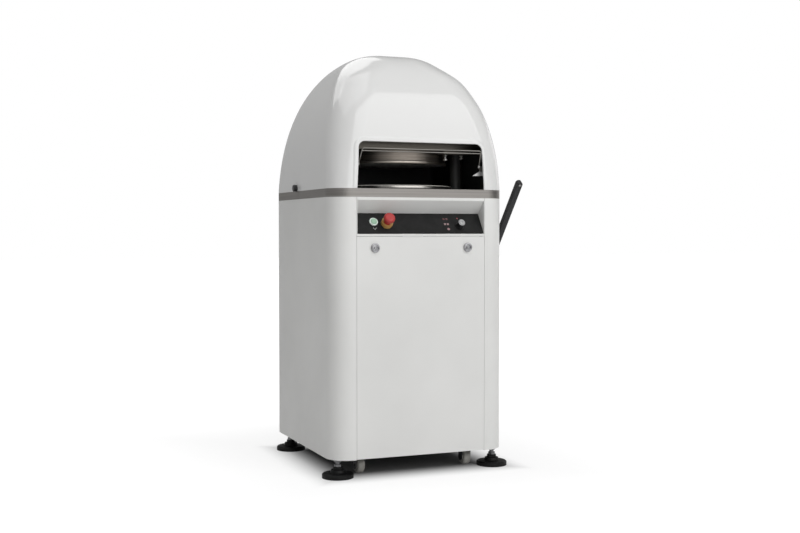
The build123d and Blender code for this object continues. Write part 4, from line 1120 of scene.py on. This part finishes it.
def cups(top):
    """Round cutters for the cups, one under every cell of the knife set."""
    steps = [
        (0.0090, -0.0076),
        (0.0180, -0.0062),
        (0.0232, -0.0032),
        (0.0252, 0),
        (0.0262, 0.0020),
    ]
    middles = []
    for count, reach in CUP_RINGS:
        for step in range(count):
            angle = 2 * math.pi * (step + 0.5) / count
            middles.append((reach * math.cos(angle), reach * math.sin(angle), top))
    copies = copies_of(turned("cup", sides=40, steps=steps), len(middles))
    for copy, middle in zip(copies, middles):
        stand(copy, middle)
    return joined("cups", copies)


def cupped_plate(low, high):
    """Moulding plate with rounded edge and cups."""
    radius = (high.x - low.x) / 2
    edge = PLATE_EDGE
    steps = [(radius - 0.0006, low.z), (radius, low.z + 0.0006)]
    for part in range(5):
        angle = math.pi / 8 * part
        out, rise = edge * math.cos(angle), edge * math.sin(angle)
        steps.append((radius - edge + out, high.z - edge + rise))
    plate = turned("cupped_plate", sides=PLATE_SIDES, steps=steps)
    carve(plate, cups(high.z))
    smooth()
    stand(plate, ((low.x + high.x) / 2, (low.y + high.y) / 2, 0))
    settle(plate, PLATE_PALE, "table")
    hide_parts("moulding_plate")


def plate_hoop(low, high):
    """Polished hoop round the edge of the moulding plate."""
    radius = (high.x - low.x) / 2
    steps = [
        (radius - 0.0012, low.z + 0.0006),
        (radius + 0.0008, low.z + 0.0006),
        (radius + 0.0014, low.z + 0.0016),
        (radius + 0.0014, high.z - 0.0052),
        (radius + 0.0010, high.z - 0.0036),
        (radius + 0.0001, high.z - 0.0026),
        (radius - 0.0012, high.z - 0.0022),
    ]
    hoop = rolled("plate_hoop", sides=PLATE_SIDES, steps=steps)
    smooth(50)
    stand(hoop, ((low.x + high.x) / 2, (low.y + high.y) / 2, 0))
    settle(hoop, HOOP_STEEL, "table")


def fittings(nodes):
    timer_cap()
    start_mark()
    head_apron()
    ring_lip()
    hanging_screw("hanging_screw_inner", across=0.1515, drop=0.0150)
    hanging_screw("hanging_screw_outer", across=0.2165, drop=0.0085)
    guard_sleeves()
    hand_lever()
    plate_box = [Vector(corner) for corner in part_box("moulding_plate")]
    cupped_plate(*plate_box)
    plate_hoop(*plate_box)
    window_land(nodes["hood_shell"])
    screws()


# Studio

def camera_view(owner, seen):
    """1 where the camera looks, also through glass."""
    return math_node(owner, "MAXIMUM", seen["Is Camera Ray"], seen["Is Transmission Ray"])


def studio_floor():
    """Pale floor with a painted glow that whitens it away from the machine and fades out close by,
    which paints shade round the machine on top of its real shadow.
    """
    floor = begin(
        "studio_floor", bpy.ops.mesh.primitive_plane_add, size=FLOOR_SIZE, location=(0, 0, 0)
    )
    made = bpy.data.materials.new("studio_floor_painted_glow")
    made.use_nodes = True
    made.node_tree.nodes.clear()
    calc = partial(math_node, made)
    seen = node(made, "ShaderNodeLightPath").outputs
    mirrored = calc("MULTIPLY", seen["Is Glossy Ray"], MIRRORED_LEVEL)
    view = calc("MAXIMUM", camera_view(made, seen), mirrored)
    spot = split(made, places(made)["Object"])
    # Painted light and shade: the glow grows with the distance outside the machine's footprint, and
    # is gone under it
    beside = calc("SUBTRACT", calc("ABSOLUTE", spot["X"]), MACHINE_HALF_X)
    beyond = calc("SUBTRACT", calc("ABSOLUTE", spot["Y"]), MACHINE_HALF_Y)
    outside = calc("MAXIMUM", beside, beyond)
    painted_glows = []
    for start, end, share in (NEAR_PAINTED_GLOW, FAR_PAINTED_GLOW):
        rise = span(made, outside, start, end, easing="SMOOTHSTEP")
        painted_glows.append(calc("MULTIPLY", rise, share))
    cloth = node(made, "ShaderNodeBsdfDiffuse")
    shade = span(made, view, low=FLOOR_GREY, high=FLOOR_GREY_SEEN)
    link(made, shade, cloth.inputs["Color"])
    glow = node(made, "ShaderNodeEmission")
    link(made, calc("MULTIPLY", calc("ADD", *painted_glows), view), glow.inputs["Strength"])
    both = node(made, "ShaderNodeAddShader")
    link(made, cloth.outputs["BSDF"], both.inputs[0])
    link(made, glow.outputs["Emission"], both.inputs[1])
    output = node(made, "ShaderNodeOutputMaterial")
    link(made, both.outputs["Shader"], output.inputs["Surface"])
    floor.data.materials.append(made)


def studio_world():
    """Backdrop that is white in the camera's view, and softer as fill light and in reflections."""
    world = bpy.data.worlds.new("studio_world")
    bpy.context.scene.world = world
    world.use_nodes = True
    background = world.node_tree.nodes["Background"]
    background.inputs["Color"].default_value = (1, 1, 1, 1)
    up = split(world, places(world)["Generated"])["Z"]
    fill = span(world, up, low=FILL_LEVEL, high=CEILING_LEVEL, easing="SMOOTHSTEP")
    mirrored = span(
        world,
        up,
        start=MIRRORED_UP_TO,
        end=MIRRORED_GONE,
        low=MIRRORED_LEVEL,
        high=FILL_LEVEL,
        easing="SMOOTHSTEP",
    )
    seen = node(world, "ShaderNodeLightPath").outputs
    unseen = span(world, seen["Is Glossy Ray"], low=fill, high=mirrored)
    level = span(world, camera_view(world, seen), low=unseen, high=1.0)
    link(world, level, background.inputs["Strength"])


def studio_lights():
    for name, (place, target, width, height, power) in SOFT_BOXES.items():
        light = bpy.data.lights.new(name, "AREA")
        light.shape = "RECTANGLE"
        light.size = width
        light.size_y = height
        light.energy = power
        lamp = bpy.data.objects.new(name, light)
        bpy.context.scene.collection.objects.link(lamp)
        aim = Vector(target) - Vector(place)
        turn = aim.to_track_quat("-Z", "Y").to_matrix().to_4x4()
        lamp.matrix_world = Matrix.Translation(place) @ turn


def studio_camera():
    data = bpy.data.cameras.new("photo_camera")
    data.lens = LENS_MM
    data.sensor_width = SENSOR_MM
    camera = bpy.data.objects.new("photo_camera", data)
    camera.location = CAMERA_AT
    camera.rotation_euler = (CAMERA_PITCH, 0, CAMERA_TURN)
    bpy.context.scene.collection.objects.link(camera)
    bpy.context.scene.camera = camera


def main():
    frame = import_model()
    bpy.context.scene.view_settings.view_transform = "Standard"
    dress_nodes(frame["nodes"])
    fittings(frame["nodes"])
    studio_floor()
    studio_world()
    studio_lights()
    studio_camera()


main()
